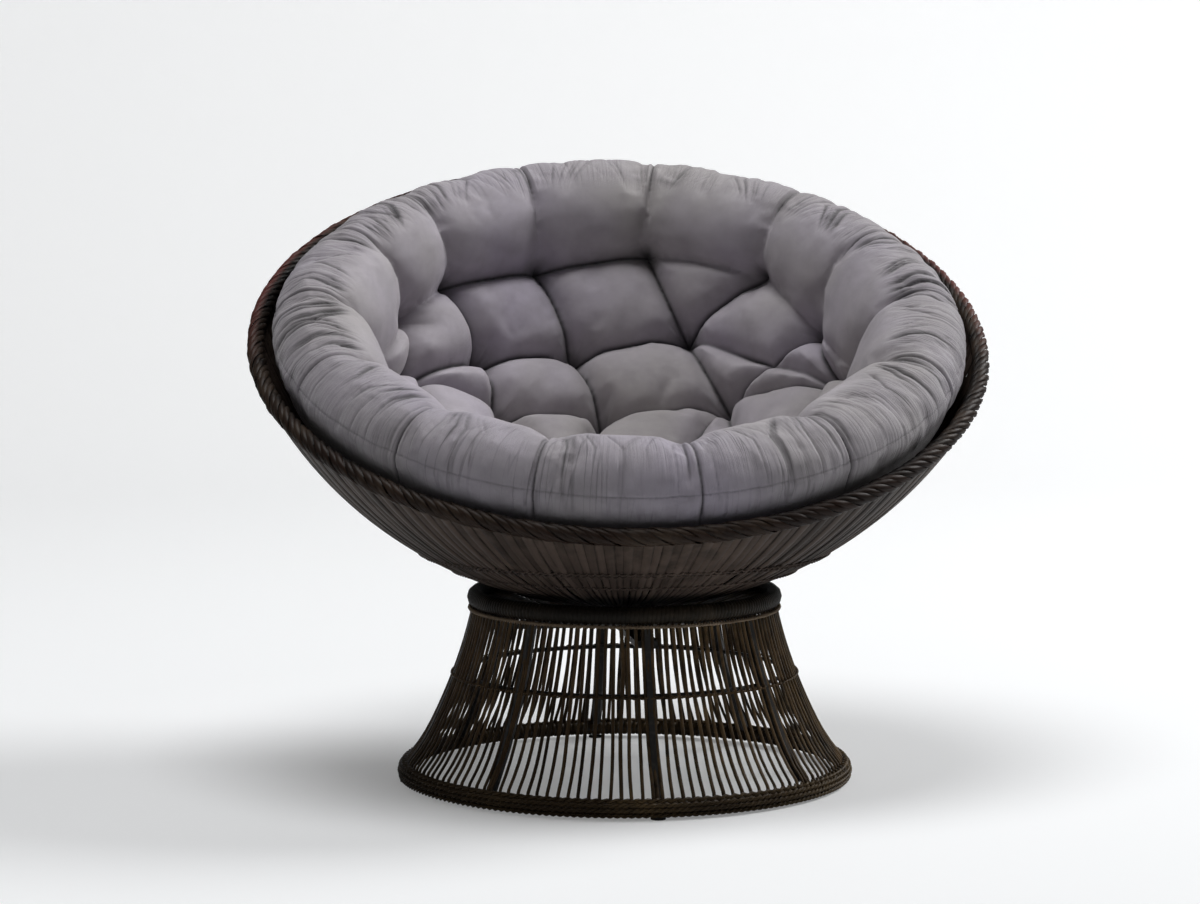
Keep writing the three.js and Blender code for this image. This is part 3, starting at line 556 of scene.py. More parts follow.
# %% [markdown]
# ## The cushion's form
# One round cushion fills the bowl: a dished pad with a fat roll round it, sewn through at its tufts. Creases
# run from tuft to tuft and leave pillows between them. The cushion has its own frame, round the sphere's
# centre, with the dish facing up.

# %% Cushion form
CUSHION_TURN = TILT - math.radians(2)
CUSHION_RADIUS = 0.5334
CROWN_RADIUS = CUSHION_RADIUS - 0.112 - 0.004
ROLL_RADIUS = 0.063
ROLL_ANGLE = math.radians(63.5)
ROLL_OUT = (CUSHION_RADIUS - ROLL_RADIUS) * math.sin(ROLL_ANGLE)
ROLL_HIGH = -(CUSHION_RADIUS - ROLL_RADIUS) * math.cos(ROLL_ANGLE)
cushion_axes = np.array(Matrix.Rotation(CUSHION_TURN, 3, "X"))

# Tufts, in degrees: the fall from the dish's lowest point, and the angle from the back towards +X.
OUTER_TUFTS = [(52.3, -60.5), (53, -41.5), (51.2, -16), (53.8, 10.3), (54.6, 40.2), (49.6, 62.5), (50.5, 88),
               (51, 115), (51, 145), (51, 171), (51, -163), (51, -139), (51, -113), (51, -87)]
MIDDLE_TUFTS = [(43, -71), (37.2, -42.5), (33.2, -10.8), (38.8, 24.5), (45, 79), (37, 112), (37, 148),
                (37, -176), (37, -140), (37, -105)]
INNER_TUFTS = [(26.4, -54), (18.4, -3), (28.2, 52.5), (24, 100), (24, 150), (24, -160), (24, -108)]
CORE_TUFTS = [(9, 120), (9, -110)]


def direction(fall, turn):
    """Unit vectors in the cushion's frame. Fall is the angle from straight down."""
    return np.stack([np.sin(fall) * np.sin(turn), -np.sin(fall) * np.cos(turn), -np.cos(fall)], axis=-1)


def tuft_place(fall, from_back):
    return direction(np.radians(fall), math.pi - np.radians(from_back))


TUFT_RINGS = (OUTER_TUFTS, MIDDLE_TUFTS, INNER_TUFTS, CORE_TUFTS)
tuft_rings = [np.array([tuft_place(*tuft) for tuft in ring]) for ring in TUFT_RINGS]
tufts = np.concatenate(tuft_rings)
SHALLOW = 0.008
creases = []  # two ends, and how much further off than it is a shallow one counts
for number, ring in enumerate(tuft_rings[:3]):
    for i, (start, end) in enumerate(zip(ring, np.roll(ring, -1, axis=0))):
        creases.append((start, end, SHALLOW if number == 0 and i not in (1, 2) else 0))
for outer, inner in zip(tuft_rings, tuft_rings[1:]):
    creases += [(tuft, inner[np.argmin(norm(inner - tuft))], 0) for tuft in outer]
creases += [(tuft_rings[0][3], tuft_rings[1][3], 0), (tuft_rings[0][5], tuft_rings[2][2], 0)]
print("tufts", len(tufts), "creases", len(creases))


def near_tuft(directions):
    """Distance to the nearest tuft."""
    return np.min([norm(directions - tuft) for tuft in tufts], axis=0) * CUSHION_RADIUS


def near_crease(directions):
    """Distance to the nearest crease, each a straight line between two tufts."""
    least = np.full(len(directions), 9.0)
    for start, end, soft in creases:
        line = end - start
        share = np.clip((directions - start) @ line / (line @ line), 0, 1)
        spot = start + share[:, None] * line
        spot /= norm(spot)[:, None]
        least = np.minimum(least, norm(directions - spot) * CUSHION_RADIUS + soft)
    return least


def fade(distance, reach):
    return np.exp(-(distance / reach) ** 2)


def sharp(distance, reach):
    """Like fade, but with a sharp bottom, as where cloth folds against itself."""
    return np.exp(-np.abs(distance) / reach)


outer_turns = np.sort(np.mod(math.pi - np.radians([tuft[1] for tuft in OUTER_TUFTS]), FULL_TURN))


def wrapped_turn(angles):
    """The same angles from -180 to 180 degrees."""
    return np.mod(angles + math.pi, FULL_TURN) - math.pi


def seam_distance(turn, out):
    """Distance round the roll to the nearest radial seam."""
    return np.abs(wrapped_turn(turn[:, None] - outer_turns)).min(axis=1) * out


# %% [markdown]
# A UV sphere gives the closed skin: its rings are laid over the dish, then the roll, then the underside. The
# roll's section is its thickness at several angles round its own centre, full between two seams, and pulled
# in at a seam. A remesh then makes the faces even.

# %% Cushion skin
DISH_SHARE, ROLL_SHARE = 0.36, 0.54
DISH_END, UNDER_EDGE = math.radians(54.5), math.radians(61)
ROLL_BENDS = (5, 28, 51, 74, 96, 121, 149, 176, 200)
ROLL_FULL = (0.0655, 0.0650, 0.0655, 0.0660, 0.0645, 0.0630, 0.0640, 0.0720, 0.0880)
ROLL_SEWN = (0.0640, 0.0628, 0.0622, 0.0615, 0.0590, 0.0525, 0.0470, 0.0520, 0.0680)
PILLOW_REACH, PILLOW_RISE = 0.050, 0.027
TUFT_REACH, TUFT_DIPS = 0.034, (0.042, 0.030)


def cushion_start(rings, segments):
    fresh()
    bpy.ops.mesh.primitive_uv_sphere_add(segments=segments, ring_count=rings, radius=1)
    obj = active()
    points = points_of(obj)
    share = np.arccos(np.clip(points[:, 2], -1, 1)) / math.pi
    turn = np.arctan2(points[:, 0], -points[:, 1])
    out, high = np.zeros(len(points)), np.zeros(len(points))
    dish, under = share <= DISH_SHARE, share > ROLL_SHARE
    fall = share[dish] / DISH_SHARE * DISH_END
    ways = direction(fall, turn[dish])
    flank = 1 - np.clip(near_crease(ways) / PILLOW_REACH, 0, 1)
    dip = np.interp(np.degrees(fall), (40, 50), TUFT_DIPS) * fade(near_tuft(ways), TUFT_REACH)
    radius = CROWN_RADIUS + (dip + PILLOW_RISE * (1 - np.sqrt(1 - flank ** 2)))
    out[dish], high[dish] = radius * np.sin(fall), -radius * np.cos(fall)
    roll = ~dish & ~under
    lowest, highest = ROLL_BENDS[0], ROLL_BENDS[-1]
    degrees = highest - (highest - lowest) * (share[roll] - DISH_SHARE) / (ROLL_SHARE - DISH_SHARE)
    bend = np.radians(degrees)
    full, sewn = np.interp(degrees, ROLL_BENDS, ROLL_FULL), np.interp(degrees, ROLL_BENDS, ROLL_SEWN)
    seam = seam_distance(turn[roll], ROLL_OUT)
    thick = full + (sewn - full) * (0.6 * fade(seam, 0.030) + 0.4 * sharp(seam, 0.010))
    out[roll], high[roll] = ROLL_OUT + thick * np.cos(bend), ROLL_HIGH + thick * np.sin(bend)
    fall = UNDER_EDGE * (1 - (share[under] - ROLL_SHARE) / (1 - ROLL_SHARE))
    out[under], high[under] = CUSHION_RADIUS * np.sin(fall), -CUSHION_RADIUS * np.cos(fall)
    place_points(obj, np.stack([out * np.sin(turn), -out * np.cos(turn), high], axis=1))
    return obj


VOXEL = 0.007
cushion = cushion_start(rings=150, segments=360)
cushion.name = cushion.data.name = "tufted_cushion"
cushion.data.remesh_voxel_size = VOXEL
bpy.ops.object.voxel_remesh()
print("cushion faces after the remesh", len(cushion.data.polygons))

# %% [markdown]
# ## Filling the cushion
# Blender's cloth blows the cover up a little, as the filling does. The underside and the tufts are pinned,
# and, less firmly, the creases and seams. What moves too far is held back, and nothing may leave the sphere
# that clears the bowl.

# %% Cushion simulation
FILLING = {"quality": 4, "mass": 0.3, "tension_stiffness": 10, "compression_stiffness": 10,
           "bending_stiffness": 0.1, "use_pressure": True, "uniform_pressure_force": 4, "shrink_min": -0.04,
           "vertex_group_mass": "held"}
FILLING_FRAMES, MOST_MOVED = 20, 0.024
RESTING_WITHIN, COVER_WITHIN = 0.006, 0.012
DISH_MARGIN, DISH_BLEND = 0.02, 0.03


def own_places(points):
    """Turn, distance from the axis, and unit direction of points in the cushion's frame."""
    turn = np.arctan2(points[:, 0], -points[:, 1])
    return turn, np.hypot(points[:, 0], points[:, 1]), points / norm(points)[:, None]


def on_dish(points):
    """1 on the dish, 0 over the roll and on the underside."""
    out = np.hypot(points[:, 0], points[:, 1])
    inside = np.clip((ROLL_OUT - DISH_MARGIN - out) / DISH_BLEND, 0, 1)
    return inside * (norm(points) < CUSHION_RADIUS - COVER_WITHIN)


def clear_of_bowl(points):
    """Brings points that stick out back to the sphere that clears the bowl."""
    return points * np.minimum(1, CUSHION_RADIUS / norm(points)[:, None])


def fill_cushion(obj):
    start = points_of(obj)
    turn, out, ways = own_places(start)
    resting = (norm(start) > CUSHION_RADIUS - RESTING_WITHIN).astype(float)
    dish = on_dish(start)
    seam = fade(seam_distance(turn, out), 0.007) * (1 - dish)
    sewn = dish * np.maximum(fade(near_tuft(ways), 0.012), 0.75 * fade(near_crease(ways), 0.006))
    held = np.clip(np.maximum.reduce([resting, sewn, 0.8 * seam]), 0, 1)
    group = obj.vertex_groups.new(name="held")
    for index in np.nonzero(held > 0.02)[0]:
        group.add([int(index)], float(held[index]), "REPLACE")
    cloth = obj.modifiers.new("filling", "CLOTH")
    for name, value in FILLING.items():
        setattr(cloth.settings, name, value)
    cloth.settings.effector_weights.gravity = 0
    cloth.collision_settings.use_collision = False
    for number in range(1, FILLING_FRAMES + 1):
        bpy.context.scene.frame_set(number)
    apply_modifier(cloth)
    moved = points_of(obj) - start
    length = norm(moved)[:, None]
    print("filling moved the cover by up to", round(float(length.max()) * 1000, 1), "mm")
    moved *= np.minimum(1, MOST_MOVED / np.maximum(length, 1e-9))
    place_points(obj, clear_of_bowl(start + moved))
    obj.vertex_groups.clear()


fill_cushion(cushion)
bpy.context.scene.frame_set(1)
division = cushion.modifiers.new("finer", "SUBSURF")
division.levels = division.render_levels = 1
apply_modifier(division)

# %% [markdown]
# The side that is seen carries fine gathers and wrinkles, so its faces are divided once more.

# %% Finer top
UNDERSIDE_RADIUS, ROLL_SEEN_ABOVE = 0.529, -0.27


def on_top(centres):
    out, far = np.hypot(centres[:, 0], centres[:, 1]), norm(centres)
    return (far < UNDERSIDE_RADIUS) & ((out < ROLL_OUT) | (centres[:, 2] > ROLL_SEEN_ABOVE))


pick(cushion)
edit("DESELECT", "FACE")
leave_edit()
cushion.data.polygons.foreach_set("select", on_top(read(cushion.data.polygons, "center", 3)))
bpy.ops.object.mode_set(mode="EDIT")
bpy.ops.mesh.vertices_smooth(factor=0.5, repeat=5)
bpy.ops.mesh.subdivide(number_cuts=1, smoothness=0.6)
bpy.ops.mesh.select_mode(type="VERT")
leave_edit()
print("cushion faces", len(cushion.data.polygons))

# %% [markdown]
# ## Sewing: seams, gathers and creases
# The sewing is finer than a voxel, so it is pressed in last, towards the filling. A radial seam with a welt
# runs from each outer tuft over the roll, gathers fan out beside it, and a boxing seam runs round the roll's
# outer side. The creases between tufts are cut deeper and narrower, and short wrinkles surround each tuft.

# %% Sewing
# How deep each is, and how far it reaches.
CREASE, BASIN, TUFT, WRINKLE = (0.0085, 0.0055), (0.0055, 0.017), (0.015, 0.0085), (0.0034, 0.07)
SEAM, WELT, BOXING = (0.0048, 0.0020), (0.0012, 0.0022), (0.0009, 0.0012)
WELT_OFFSET, BOXING_BEND = 0.0055, 20
# How many gathers a tuft has, and the ranges of their widths and depths.
FINE_GATHERS = (16, (0.0014, 0.0026), (0.0006, 0.0020))
STRONG_GATHERS = (11, (0.0022, 0.0042), (0.0018, 0.0052))


def roll_bend(points):
    """Angle round the roll's own centre line. 0 is straight out, and it grows upwards."""
    return np.arctan2(points[:, 2] - ROLL_HIGH, np.hypot(points[:, 0], points[:, 1]) - ROLL_OUT)


def inward(points):
    """The way the sewing pulls: out from the dish's centre on the dish, and to the roll's own centre line."""
    turn, _, ways = own_places(points)
    bend = roll_bend(points)
    side = -np.cos(bend)
    to_core = np.stack([side * np.sin(turn), -side * np.cos(turn), -np.sin(bend)], axis=1)
    dish = on_dish(points)[:, None]
    return dish * ways + (1 - dish) * to_core


def tuft_wrinkles(ways):
    """Short wrinkles that run out from every tuft."""
    depth = np.zeros(len(ways))
    for tuft in tufts:
        count, start, reach = rng.integers(6, 10), rng.uniform(0, FULL_TURN), rng.uniform(0.018, 0.030)
        away = ways - tuft
        near = np.nonzero(norm(away) * CUSHION_RADIUS < WRINKLE[1])[0]
        side = np.cross(tuft, (0, 0, 1.0))
        side /= np.linalg.norm(side)
        across, along = away[near] @ side, away[near] @ np.cross(side, tuft)
        angle = np.arctan2(along, across)
        far = np.hypot(across, along) * CUSHION_RADIUS
        waves = np.maximum(0, np.cos(count * angle + start + 0.8 * np.sin(2 * angle + start))) ** 3
        depth[near] += WRINKLE[0] * waves * fade(far, reach) * (1 - fade(far, 0.007))
    return depth


def gather_lines(tuft_turn, turn, out, over, roll, count, widths, depths):
    """Valleys that fan out from a tuft over the roll: the points near it, and how far each is in."""
    away = wrapped_turn(turn - tuft_turn)
    near = np.nonzero((np.abs(away) < 0.4) & (roll > 0))[0]
    dips = np.zeros(len(near))
    progress = over[near]
    for _ in range(count):
        end, sway = rng.uniform(-0.25, 0.25), rng.uniform(-0.05, 0.05)
        start_share, stop_share = rng.uniform(-0.25, 0.3), rng.uniform(0.55, 1.15)
        width, deep = rng.uniform(*widths), rng.uniform(*depths)
        line = end * (0.3 + 0.7 * np.clip(progress * 1.8, 0, 1)) + sway * (progress - 0.5) ** 2
        reach = np.clip((progress - start_share) / 0.2, 0, 1) * np.clip((stop_share - progress) / 0.25, 0, 1)
        dips += deep * sharp((away[near] - line) * out[near], width) * reach * roll[near]
    return near, dips


def sewing_depth(points):
    """How far each point is pressed in, and the painted shade of creases, tufts, seams and gathers."""
    turn, out, ways = own_places(points)
    bend = np.degrees(roll_bend(points))
    bend = np.where(bend < -120, bend + 360, bend)
    dish = on_dish(points)
    over = (180 - bend) / 180
    roll = np.clip((195 - bend) / 25, 0, 1) * np.clip((bend + 40) / 30, 0, 1) * (1 - dish)
    tuft, crease = near_tuft(ways), near_crease(ways)
    seam = seam_distance(turn, out)
    creased = CREASE[0] * sharp(crease, CREASE[1]) + BASIN[0] * fade(crease, BASIN[1])
    depth = dish * (creased + TUFT[0] * sharp(tuft, TUFT[1]) + tuft_wrinkles(ways))
    depth += roll * (SEAM[0] * sharp(seam, SEAM[1]) - WELT[0] * fade(seam - WELT_OFFSET, WELT[1]))
    # Painted shade for the colour: dark along creases, round tufts and along the roll's seams; gathers and the boxing
    # seam add theirs below.
    painted_fold_shade = np.maximum(dish * np.maximum(fade(crease, 0.0036), fade(tuft, 0.011)), 0.9 * roll * fade(seam, 0.0018))
    for tuft_turn in outer_turns:
        near, fine = gather_lines(tuft_turn, turn, out, over, roll, *FINE_GATHERS)
        _, strong = gather_lines(tuft_turn, turn, out, over, roll, *STRONG_GATHERS)
        dips = fine + strong * (0.3 + 0.7 * math.sin(tuft_turn) ** 2)
        depth[near] += dips
        painted_fold_shade[near] = np.maximum(painted_fold_shade[near], np.clip(dips / 0.0036 - 0.2, 0, 0.9))
    boxing = fade(np.radians(bend - BOXING_BEND) * ROLL_RADIUS, BOXING[1]) * roll
    depth += BOXING[0] * boxing
    return depth, np.maximum(painted_fold_shade, 0.3 * boxing)


def unbroken(obj, angles):
    """Angles at the face corners, counted on from each face's first, so that no face spans the jump."""
    corners = face_corners(obj)
    first = read(obj.data.polygons, "loop_start", kind=np.int32)
    lead = np.repeat(angles[corners[first]], np.diff(np.append(first, len(corners))))
    return lead + wrapped_turn(angles[corners] - lead)


points = points_of(cushion)
depth, painted_fold_shade = sewing_depth(points)
points = clear_of_bowl(points + inward(points) * depth[:, None])
turn, bend = own_places(points)[0], roll_bend(points)
across, along = unbroken(cushion, turn) * ROLL_OUT, unbroken(cushion, bend) * ROLL_RADIUS
store_uv(cushion, "round the roll", across, along)
# The painted shade of creases, tufts, seams and gathers, and where the roll is, for the cloth's colour.
store(cushion, "painted_fold_shade", painted_fold_shade)
store(cushion, "roll", (1 - on_dish(points)) * np.clip((np.degrees(bend) + 30) / 30, 0, 1))
place_points(cushion, points @ cushion_axes.T + CENTRE)
smooth(cushion, 80)
low, high = points_of(cushion).min(axis=0), points_of(cushion).max(axis=0)
print("cushion from", low.round(3), "to", high.round(3))

# %% [markdown]
# ## Shared effects
# Streaks along a fibre, slow patches of colour and a woven thread pattern are node groups with named
# sockets. They put out plain values, and every Principled shader stays in its own material.


# %% Node helpers
class Nodes:
    """Adds nodes to a tree. An input takes a plain value or another node's output."""

    def __init__(self, tree):
        self.tree = tree

    def put(self, socket, value):
        if isinstance(value, bpy.types.NodeSocket):
            self.tree.links.new(value, socket)
        else:
            socket.default_value = (*value, 1) if socket.type == "RGBA" else value

    def feed(self, node, **inputs):
        """Fills inputs by their labels, with _ for a space."""
        for label, value in inputs.items():
            self.put(node.inputs[label.replace("_", " ")], value)
        return node

    def add(self, kind, setting=None, value=None, **inputs):
        node = self.tree.nodes.new("ShaderNode" + kind)
        if setting:
            setattr(node, setting, value)
        return self.feed(node, **inputs)

    def math(self, operation, first, second=0):
        node = self.add("Math", "operation", operation)
        self.put(node.inputs[0], first)
        self.put(node.inputs[1], second)
        return node.outputs[0]

    def times(self, first, second):
        return self.math("MULTIPLY", first, second)

    def plus(self, first, second):
        return self.math("ADD", first, second)

    def noise(self, vector, scale, detail=2.0, roughness=0.5):
        return self.add("TexNoise", Vector=vector, Scale=scale, Detail=detail, Roughness=roughness).outputs["Fac"]

    def stretched(self, vector, scale):
        return self.add("Mapping", Vector=vector, Scale=scale).outputs["Vector"]

    def ranged(self, value, low, high, from_low=0.0, from_high=1.0):
        node = self.add("MapRange", Value=value, From_Min=from_low, From_Max=from_high, To_Min=low, To_Max=high)
        return node.outputs["Result"]

    def mixed(self, share, first, second):
        node = self.add("Mix", "data_type", "RGBA")
        for number, value in ((0, share), (6, first), (7, second)):
            self.put(node.inputs[number], value)
        return node.outputs[2]

    def effect(self, shared, **inputs):
        return self.add("Group", "node_tree", shared, **inputs).outputs

    def place(self, kind="Object"):
        return self.add("TexCoord").outputs[kind]

    def attribute(self, name):
        return self.add("Attribute", "attribute_name", name).outputs["Fac"]

    def bumped(self, shader, height, strength, distance):
        bump = self.add("Bump", Height=height, Strength=strength, Distance=distance)
        self.feed(shader, Normal=bump.outputs["Normal"])


def node_group(name, *inputs):
    """A group's tree, its nodes, and what its input node puts out."""
    tree = bpy.data.node_groups.new(name, "ShaderNodeTree")
    for label, value in inputs:
        kind = "NodeSocketVector" if value is None else "NodeSocketFloat"
        socket = tree.interface.new_socket(name=label, in_out="INPUT", socket_type=kind)
        if value is not None:
            socket.default_value = value
    return tree, Nodes(tree), tree.nodes.new("NodeGroupInput").outputs


def put_out(tree, **outputs):
    for label in outputs:
        tree.interface.new_socket(name=label, in_out="OUTPUT", socket_type="NodeSocketFloat")
    Nodes(tree).feed(tree.nodes.new("NodeGroupOutput"), **outputs)


def new_finish(name):
    material = bpy.data.materials.new(name)
    material.use_nodes = True
    return material, Nodes(material.node_tree), material.node_tree.nodes["Principled BSDF"]


# %% Shared effects
FIBRE_STREAKS, nodes, given = node_group("fibre streaks", ("Along", None), ("Fineness", 1.0))
coarse = nodes.noise(nodes.stretched(given["Along"], (900, 14, 1)), given["Fineness"], 4, 0.6)
knots = nodes.noise(nodes.stretched(given["Along"], (60, 40, 1)), 1.0)
put_out(FIBRE_STREAKS, Tone=nodes.plus(nodes.times(coarse, 0.7), nodes.times(knots, 0.3)), Height=coarse)

PATCHES, nodes, given = node_group("slow patches", ("Place", None), ("Scale", 3.0))
patch = nodes.noise(given["Place"], given["Scale"], 3)
put_out(PATCHES, Patch=patch, Mottle=nodes.noise(given["Place"], nodes.times(given["Scale"], 9.0), 3, 0.6))

WEAVE, nodes, given = node_group("woven threads", ("Place", None), ("Threads per metre", 900.0))
scaled = nodes.add("VectorMath", "operation", "SCALE", Vector=given["Place"], Scale=given["Threads per metre"])
thread = nodes.add("SeparateXYZ", Vector=scaled.outputs["Vector"]).outputs
warp = nodes.math("SINE", nodes.times(thread["X"], FULL_TURN))
weft = nodes.math("SINE", nodes.times(nodes.plus(thread["Y"], thread["Z"]), FULL_TURN))
put_out(WEAVE, Height=nodes.times(warp, weft))
print("node groups:", [tree.name for tree in bpy.data.node_groups])

# %% [markdown]
# ## Cane
# All the weaving is the same cane, and only the stain differs: dark on the strands, greyer on the bowl,
# nearly black on the collar, light on the thin cord, and red-brown on the rim.


# %% Cane finishes
def cane_finish(name, dark, light, worn, worn_share, roughness, tint=None):
    material, nodes, shader = new_finish(name)
    streaks = nodes.effect(FIBRE_STREAKS, Along=nodes.place("UV"), Fineness=1.0)
    patches = nodes.effect(PATCHES, Place=nodes.place(), Scale=4.0)
    blend = nodes.plus(nodes.times(streaks["Tone"], 0.75), nodes.times(nodes.attribute("shade"), 0.55))
    colour = nodes.mixed(nodes.ranged(blend, 0, 1, 0.25, 1.05), dark, light)
    wear = nodes.ranged(patches["Patch"], 0, 1, 0.42, 0.66)
    wear = nodes.times(wear, nodes.ranged(patches["Mottle"], 0, worn_share * 2, 0.35, 0.7))
    colour = nodes.mixed(wear, colour, worn)
    if tint:
        colour = nodes.mixed(nodes.times(nodes.attribute("redness"), 0.75), colour, tint)
    rough = nodes.ranged(streaks["Tone"], roughness - 0.1, roughness + 0.12)
    nodes.feed(shader, Base_Color=colour, Roughness=rough, Specular_IOR_Level=0.18)
    nodes.bumped(shader, streaks["Height"], 0.5, 0.0004)
    return material


# Dark, light and worn colour, how much is worn, roughness, and the red that one cane has turned.
CANES = (
    ("stained strand cane", (0.006, 0.004, 0.0024), (0.082, 0.050, 0.023), (0.175, 0.112, 0.054), 0.45, 0.4),
    ("stained bowl cane", (0.009, 0.0062, 0.0046), (0.082, 0.060, 0.049), (0.130, 0.096, 0.077), 0.35, 0.5),
    ("foot braid cane", (0.006, 0.004, 0.0024), (0.066, 0.041, 0.018), (0.150, 0.100, 0.044), 0.5, 0.4),
    ("collar cane", (0.003, 0.0022, 0.0014), (0.015, 0.0105, 0.006), (0.045, 0.033, 0.021), 0.4, 0.55),
    ("red-brown rim cane", (0.003, 0.0016, 0.001), (0.026, 0.012, 0.007), (0.044, 0.029, 0.019), 0.6, 0.48,
     (0.17, 0.042, 0.036)),
    ("light cord cane", (0.060, 0.044, 0.028), (0.200, 0.148, 0.098), (0.32, 0.25, 0.18), 0.5, 0.5),
)
strand_cane, bowl_cane, foot_cane, collar_cane, rim_cane, cord_cane = [cane_finish(*values) for values in CANES]

# %% [markdown]
# ## Cloth
# The cover is a close cotton weave in a warm grey that leans to lilac. Its threads only show in a close
# view. Painted shade darkens the creases, tufts, seams and gathers, and the whole roll a little. The roll's
# thin wrinkles are pressed in and darkened with painted shade, and the fabric has the faint sheen of short fibres.

# %% Cloth finish
GREY, LILAC, MOTTLE = (0.378, 0.354, 0.355), (0.412, 0.374, 0.445), (0.235, 0.217, 0.230)
# Colours of painted shade: on the roll, in folds and tufts, and along the roll's wrinkles.
ROLL_PAINTED_SHADE, FOLD_PAINTED_SHADE, WRINKLE_PAINTED_SHADE = (0.10, 0.09, 0.11), (0.026, 0.023, 0.025), (0.05, 0.045, 0.05)
cloth, nodes, shader = new_finish("grey cushion cloth")
patches = nodes.effect(PATCHES, Place=nodes.place(), Scale=3.2)
colour = nodes.mixed(nodes.ranged(patches["Patch"], 0, 1, 0.36, 0.64), GREY, LILAC)
colour = nodes.mixed(nodes.ranged(patches["Mottle"], 0, 0.4, 0.4, 0.75), colour, MOTTLE)
roll = nodes.attribute("roll")
# Painted shade darkens the whole roll a little.
colour = nodes.mixed(nodes.times(roll, 0.20), colour, ROLL_PAINTED_SHADE)
# Painted shade in the creases, round the tufts, along the seams and in the gathers.
colour = nodes.mixed(nodes.ranged(nodes.attribute("painted_fold_shade"), 0, 0.9), colour, FOLD_PAINTED_SHADE)
round_roll = nodes.add("UVMap", "uv_map", "round the roll").outputs["UV"]
gathers = nodes.times(nodes.noise(nodes.stretched(round_roll, (150, 7, 1)), 1.0, 3, 0.55), roll)
level = nodes.noise(nodes.stretched(round_roll, (75, 3.5, 1)), 1.0, 1.0)
line = nodes.ranged(nodes.math("ABSOLUTE", nodes.math("SUBTRACT", level, 0.5)), 1, 0, 0, 0.022)
bunches = nodes.ranged(nodes.noise(nodes.stretched(round_roll, (9, 7, 1)), 1.0), 0, 1, 0.42, 0.58)
wrinkles = nodes.times(nodes.times(line, bunches), roll)
# The thin wrinkles on the roll are darkened with painted shade, and pressed in by the bump below.
colour = nodes.mixed(nodes.times(wrinkles, 0.4), colour, WRINKLE_PAINTED_SHADE)
nodes.feed(shader, Base_Color=colour, Roughness=0.74, Sheen_Weight=0.25, Sheen_Roughness=0.45)
threads = nodes.effect(WEAVE, Place=nodes.place(), Threads_per_metre=1100.0)["Height"]
fuzz = nodes.noise(nodes.place(), 260, 4, 0.65)
relief = nodes.plus(nodes.times(threads, 0.15), nodes.times(fuzz, 0.5))
relief = nodes.plus(relief, nodes.times(gathers, 7.0))
relief = nodes.math("SUBTRACT", relief, nodes.times(wrinkles, 2.0))
nodes.bumped(shader, relief, 0.6, 0.0008)

# %% [markdown]
# ## Steel and rubber
# The frame's tubes and bars are painted black, the swivel is zinc-plated, and the glides are rubber. They
# keep their CAD shape.


# %% Steel and rubber finishes
def steel_finish(name, colour, worn, metallic, roughness, scale, relief):
    material, nodes, shader = new_finish(name)
    patches = nodes.effect(PATCHES, Place=nodes.place(), Scale=scale)
    colour = nodes.mixed(nodes.ranged(patches["Mottle"], 0, 1, 0.5, 0.72), colour, worn)
    rough = nodes.ranged(patches["Patch"], roughness - 0.08, roughness + 0.12)
    nodes.feed(shader, Base_Color=colour, Roughness=rough, Metallic=metallic)
    nodes.bumped(shader, patches["Mottle"], 0.3, relief)
    return material


black_paint = steel_finish("black painted steel", (0.016, 0.015, 0.014), (0.040, 0.036, 0.032), 0.0, 0.42, 14, 0.0003)
zinc = steel_finish("zinc-plated steel", (0.30, 0.30, 0.31), (0.20, 0.20, 0.21), 1.0, 0.46, 22, 0.0002)
rubber = steel_finish("black glide rubber", (0.012, 0.012, 0.012), (0.030, 0.029, 0.028), 0.0, 0.8, 30, 0.0003)

# %% [markdown]
# ## Putting the pieces in their places
# Each new piece takes its finish, rides on its body, and stands for the CAD nodes it replaces. The thin row
# and the woven top stand for none.


# %% Rides and finishes
def dress(piece, body, material, slot, *nodes):
    piece.data.materials.clear()
    piece.data.materials.append(material)
    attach(piece, body)
    if nodes:
        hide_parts(*nodes)


BAYS = [f"base_weave_bay_{number}" for number in range(1, 9)]
dress(skirt, "base", strand_cane, "cane", *BAYS)
dress(foot_braid, "base", foot_cane, "braid", "base_lower_braid")
dress(collar, "base", collar_cane, "braid", "base_collar_wrap")
dress(trim, "base", cord_cane, "cane_light", "base_upper_trim")
dress(bowl_strands, "bowl", bowl_cane, "cane", "bowl_weave")
dress(bowl_rows, "bowl", bowl_cane, "cane_light", "bowl_twine_ring")
dress(rim_braid, "bowl", rim_cane, "braid", "bowl_rim_braid")
dress(cushion, "cushion", cloth, "cloth", "seat_cushion")
dress(mid_row, "base", strand_cane, "cane_light")
dress(base_top, "base", strand_cane, "cane")

ZINC_NODES = ("swivel_", "lower_plate_bolt", "upper_plate_bolt")
for name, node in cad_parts.items():
    finish = zinc if name.startswith(ZINC_NODES) else rubber if "glide" in name else black_paint
    for slot in node.material_slots:
        slot.material = finish

# %% [markdown]
# ## Floor, light and background
# A pale floor runs back and up into a backdrop, so no horizon shows, and keeps the chair's soft shadow. A
# glow that grows with the distance and a bright sky, both seen only by the camera, make the background
# white. The light is a plain studio's: a soft sky all round, a large lamp at the right, a little behind the
# chair, and a softer one above.

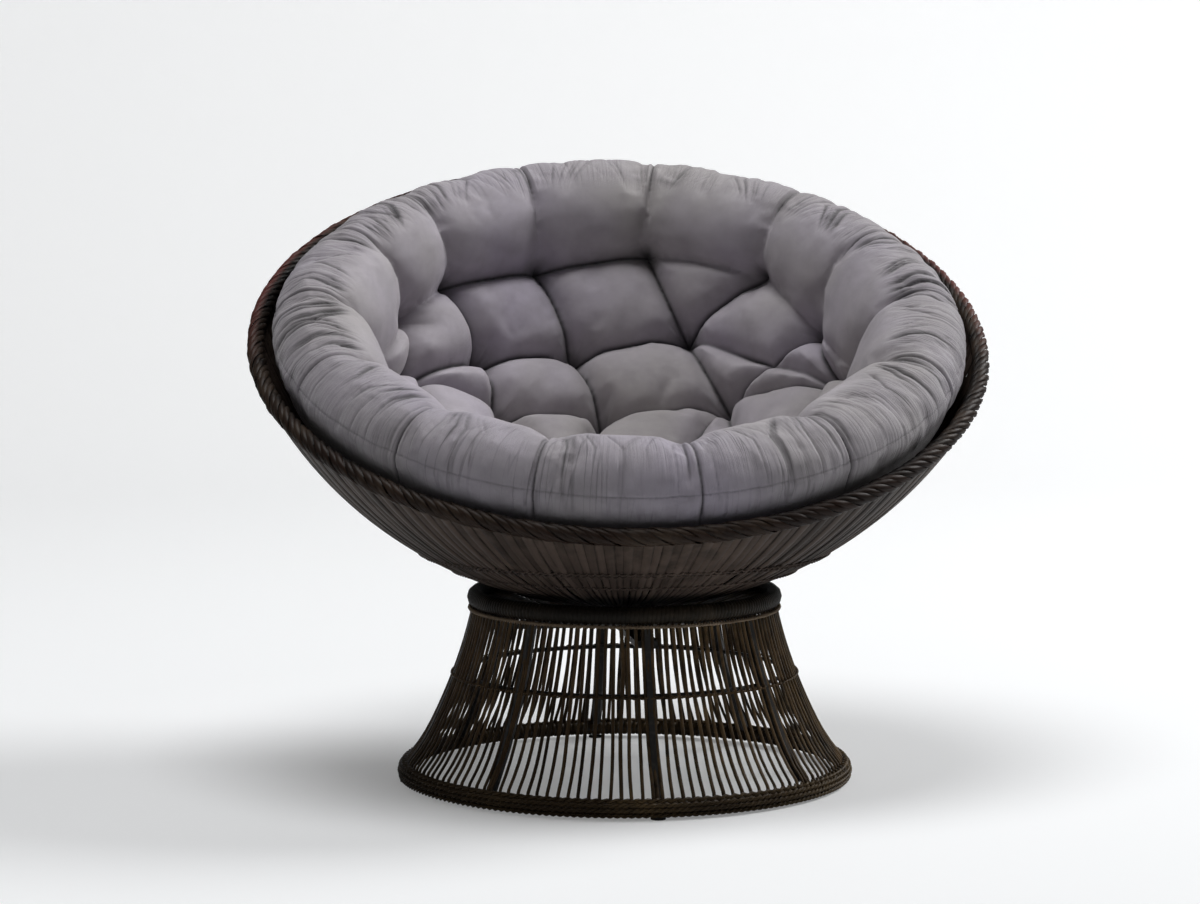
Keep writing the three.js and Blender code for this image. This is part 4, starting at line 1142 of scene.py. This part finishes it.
# %% Floor
FLOOR_WIDTH, FLOOR_FRONT, FLOOR_BACK, WALL_HEIGHT = 40.0, -22.0, 6.0, 9.0
NEAR_AND_FAR, NEAR_AND_FAR_GLOW = (1.0, 14.0), (0.215, 0.82)
fresh()
bpy.ops.mesh.primitive_plane_add(size=1)
floor = active()
floor.name = floor.data.name = "studio_floor"
edit()
bpy.ops.transform.resize(value=(FLOOR_WIDTH, FLOOR_BACK - FLOOR_FRONT, 1))
bpy.ops.transform.translate(value=(0, (FLOOR_BACK + FLOOR_FRONT) / 2, 0))
leave_edit()
edit("DESELECT", "EDGE")
leave_edit()
for edge in floor.data.edges:
    edge.select = all(floor.data.vertices[i].co.y > 0 for i in edge.vertices)
bpy.ops.object.mode_set(mode="EDIT")
bpy.ops.mesh.extrude_region_move(TRANSFORM_OT_translate={"value": (0, 0, WALL_HEIGHT)})
bpy.ops.mesh.select_mode(type="VERT")
leave_edit()
sweep = floor.modifiers.new("sweep", "BEVEL")
sweep.width, sweep.segments, sweep.limit_method = 2.0, 12, "ANGLE"
apply_modifier(sweep)
smooth(floor)
floor_finish, nodes, shader = new_finish("pale studio floor")
distance = nodes.add("VectorMath", "operation", "LENGTH", Vector=nodes.place())
glow = nodes.ranged(distance.outputs["Value"], *NEAR_AND_FAR_GLOW, *NEAR_AND_FAR)
glow = nodes.times(nodes.add("LightPath").outputs["Is Camera Ray"], glow)
nodes.feed(shader, Base_Color=(0.70, 0.71, 0.72), Roughness=0.9, Specular_IOR_Level=0.1,
           Emission_Color=(1, 1, 1), Emission_Strength=glow)
floor.data.materials.append(floor_finish)

# %% Light
world = bpy.data.worlds.new("soft studio sky")
bpy.context.scene.world = world
world.use_nodes = True
SKY_STRENGTH, SEEN_STRENGTH = 0.105, 0.9
LAMP_TARGET = Vector((0, 0, 0.4))
nodes = Nodes(world.node_tree)
sky = nodes.ranged(nodes.add("LightPath").outputs["Is Camera Ray"], SKY_STRENGTH, SEEN_STRENGTH)
nodes.feed(world.node_tree.nodes["Background"], Color=(1, 1, 1), Strength=sky)


def lamp(name, place, size, power):
    light = bpy.data.lights.new(name, "AREA")
    light.shape, light.size, light.energy = "DISK", size, power
    obj = bpy.data.objects.new(name, light)
    bpy.context.collection.objects.link(obj)
    obj.location = place
    obj.rotation_euler = (LAMP_TARGET - Vector(place)).to_track_quat("-Z", "Y").to_euler()


lamp("large side lamp", (4.9, 1.8, 5.1), 3.2, 335)
lamp("top lamp", (-0.5, -0.35, 5.0), 2.8, 136)
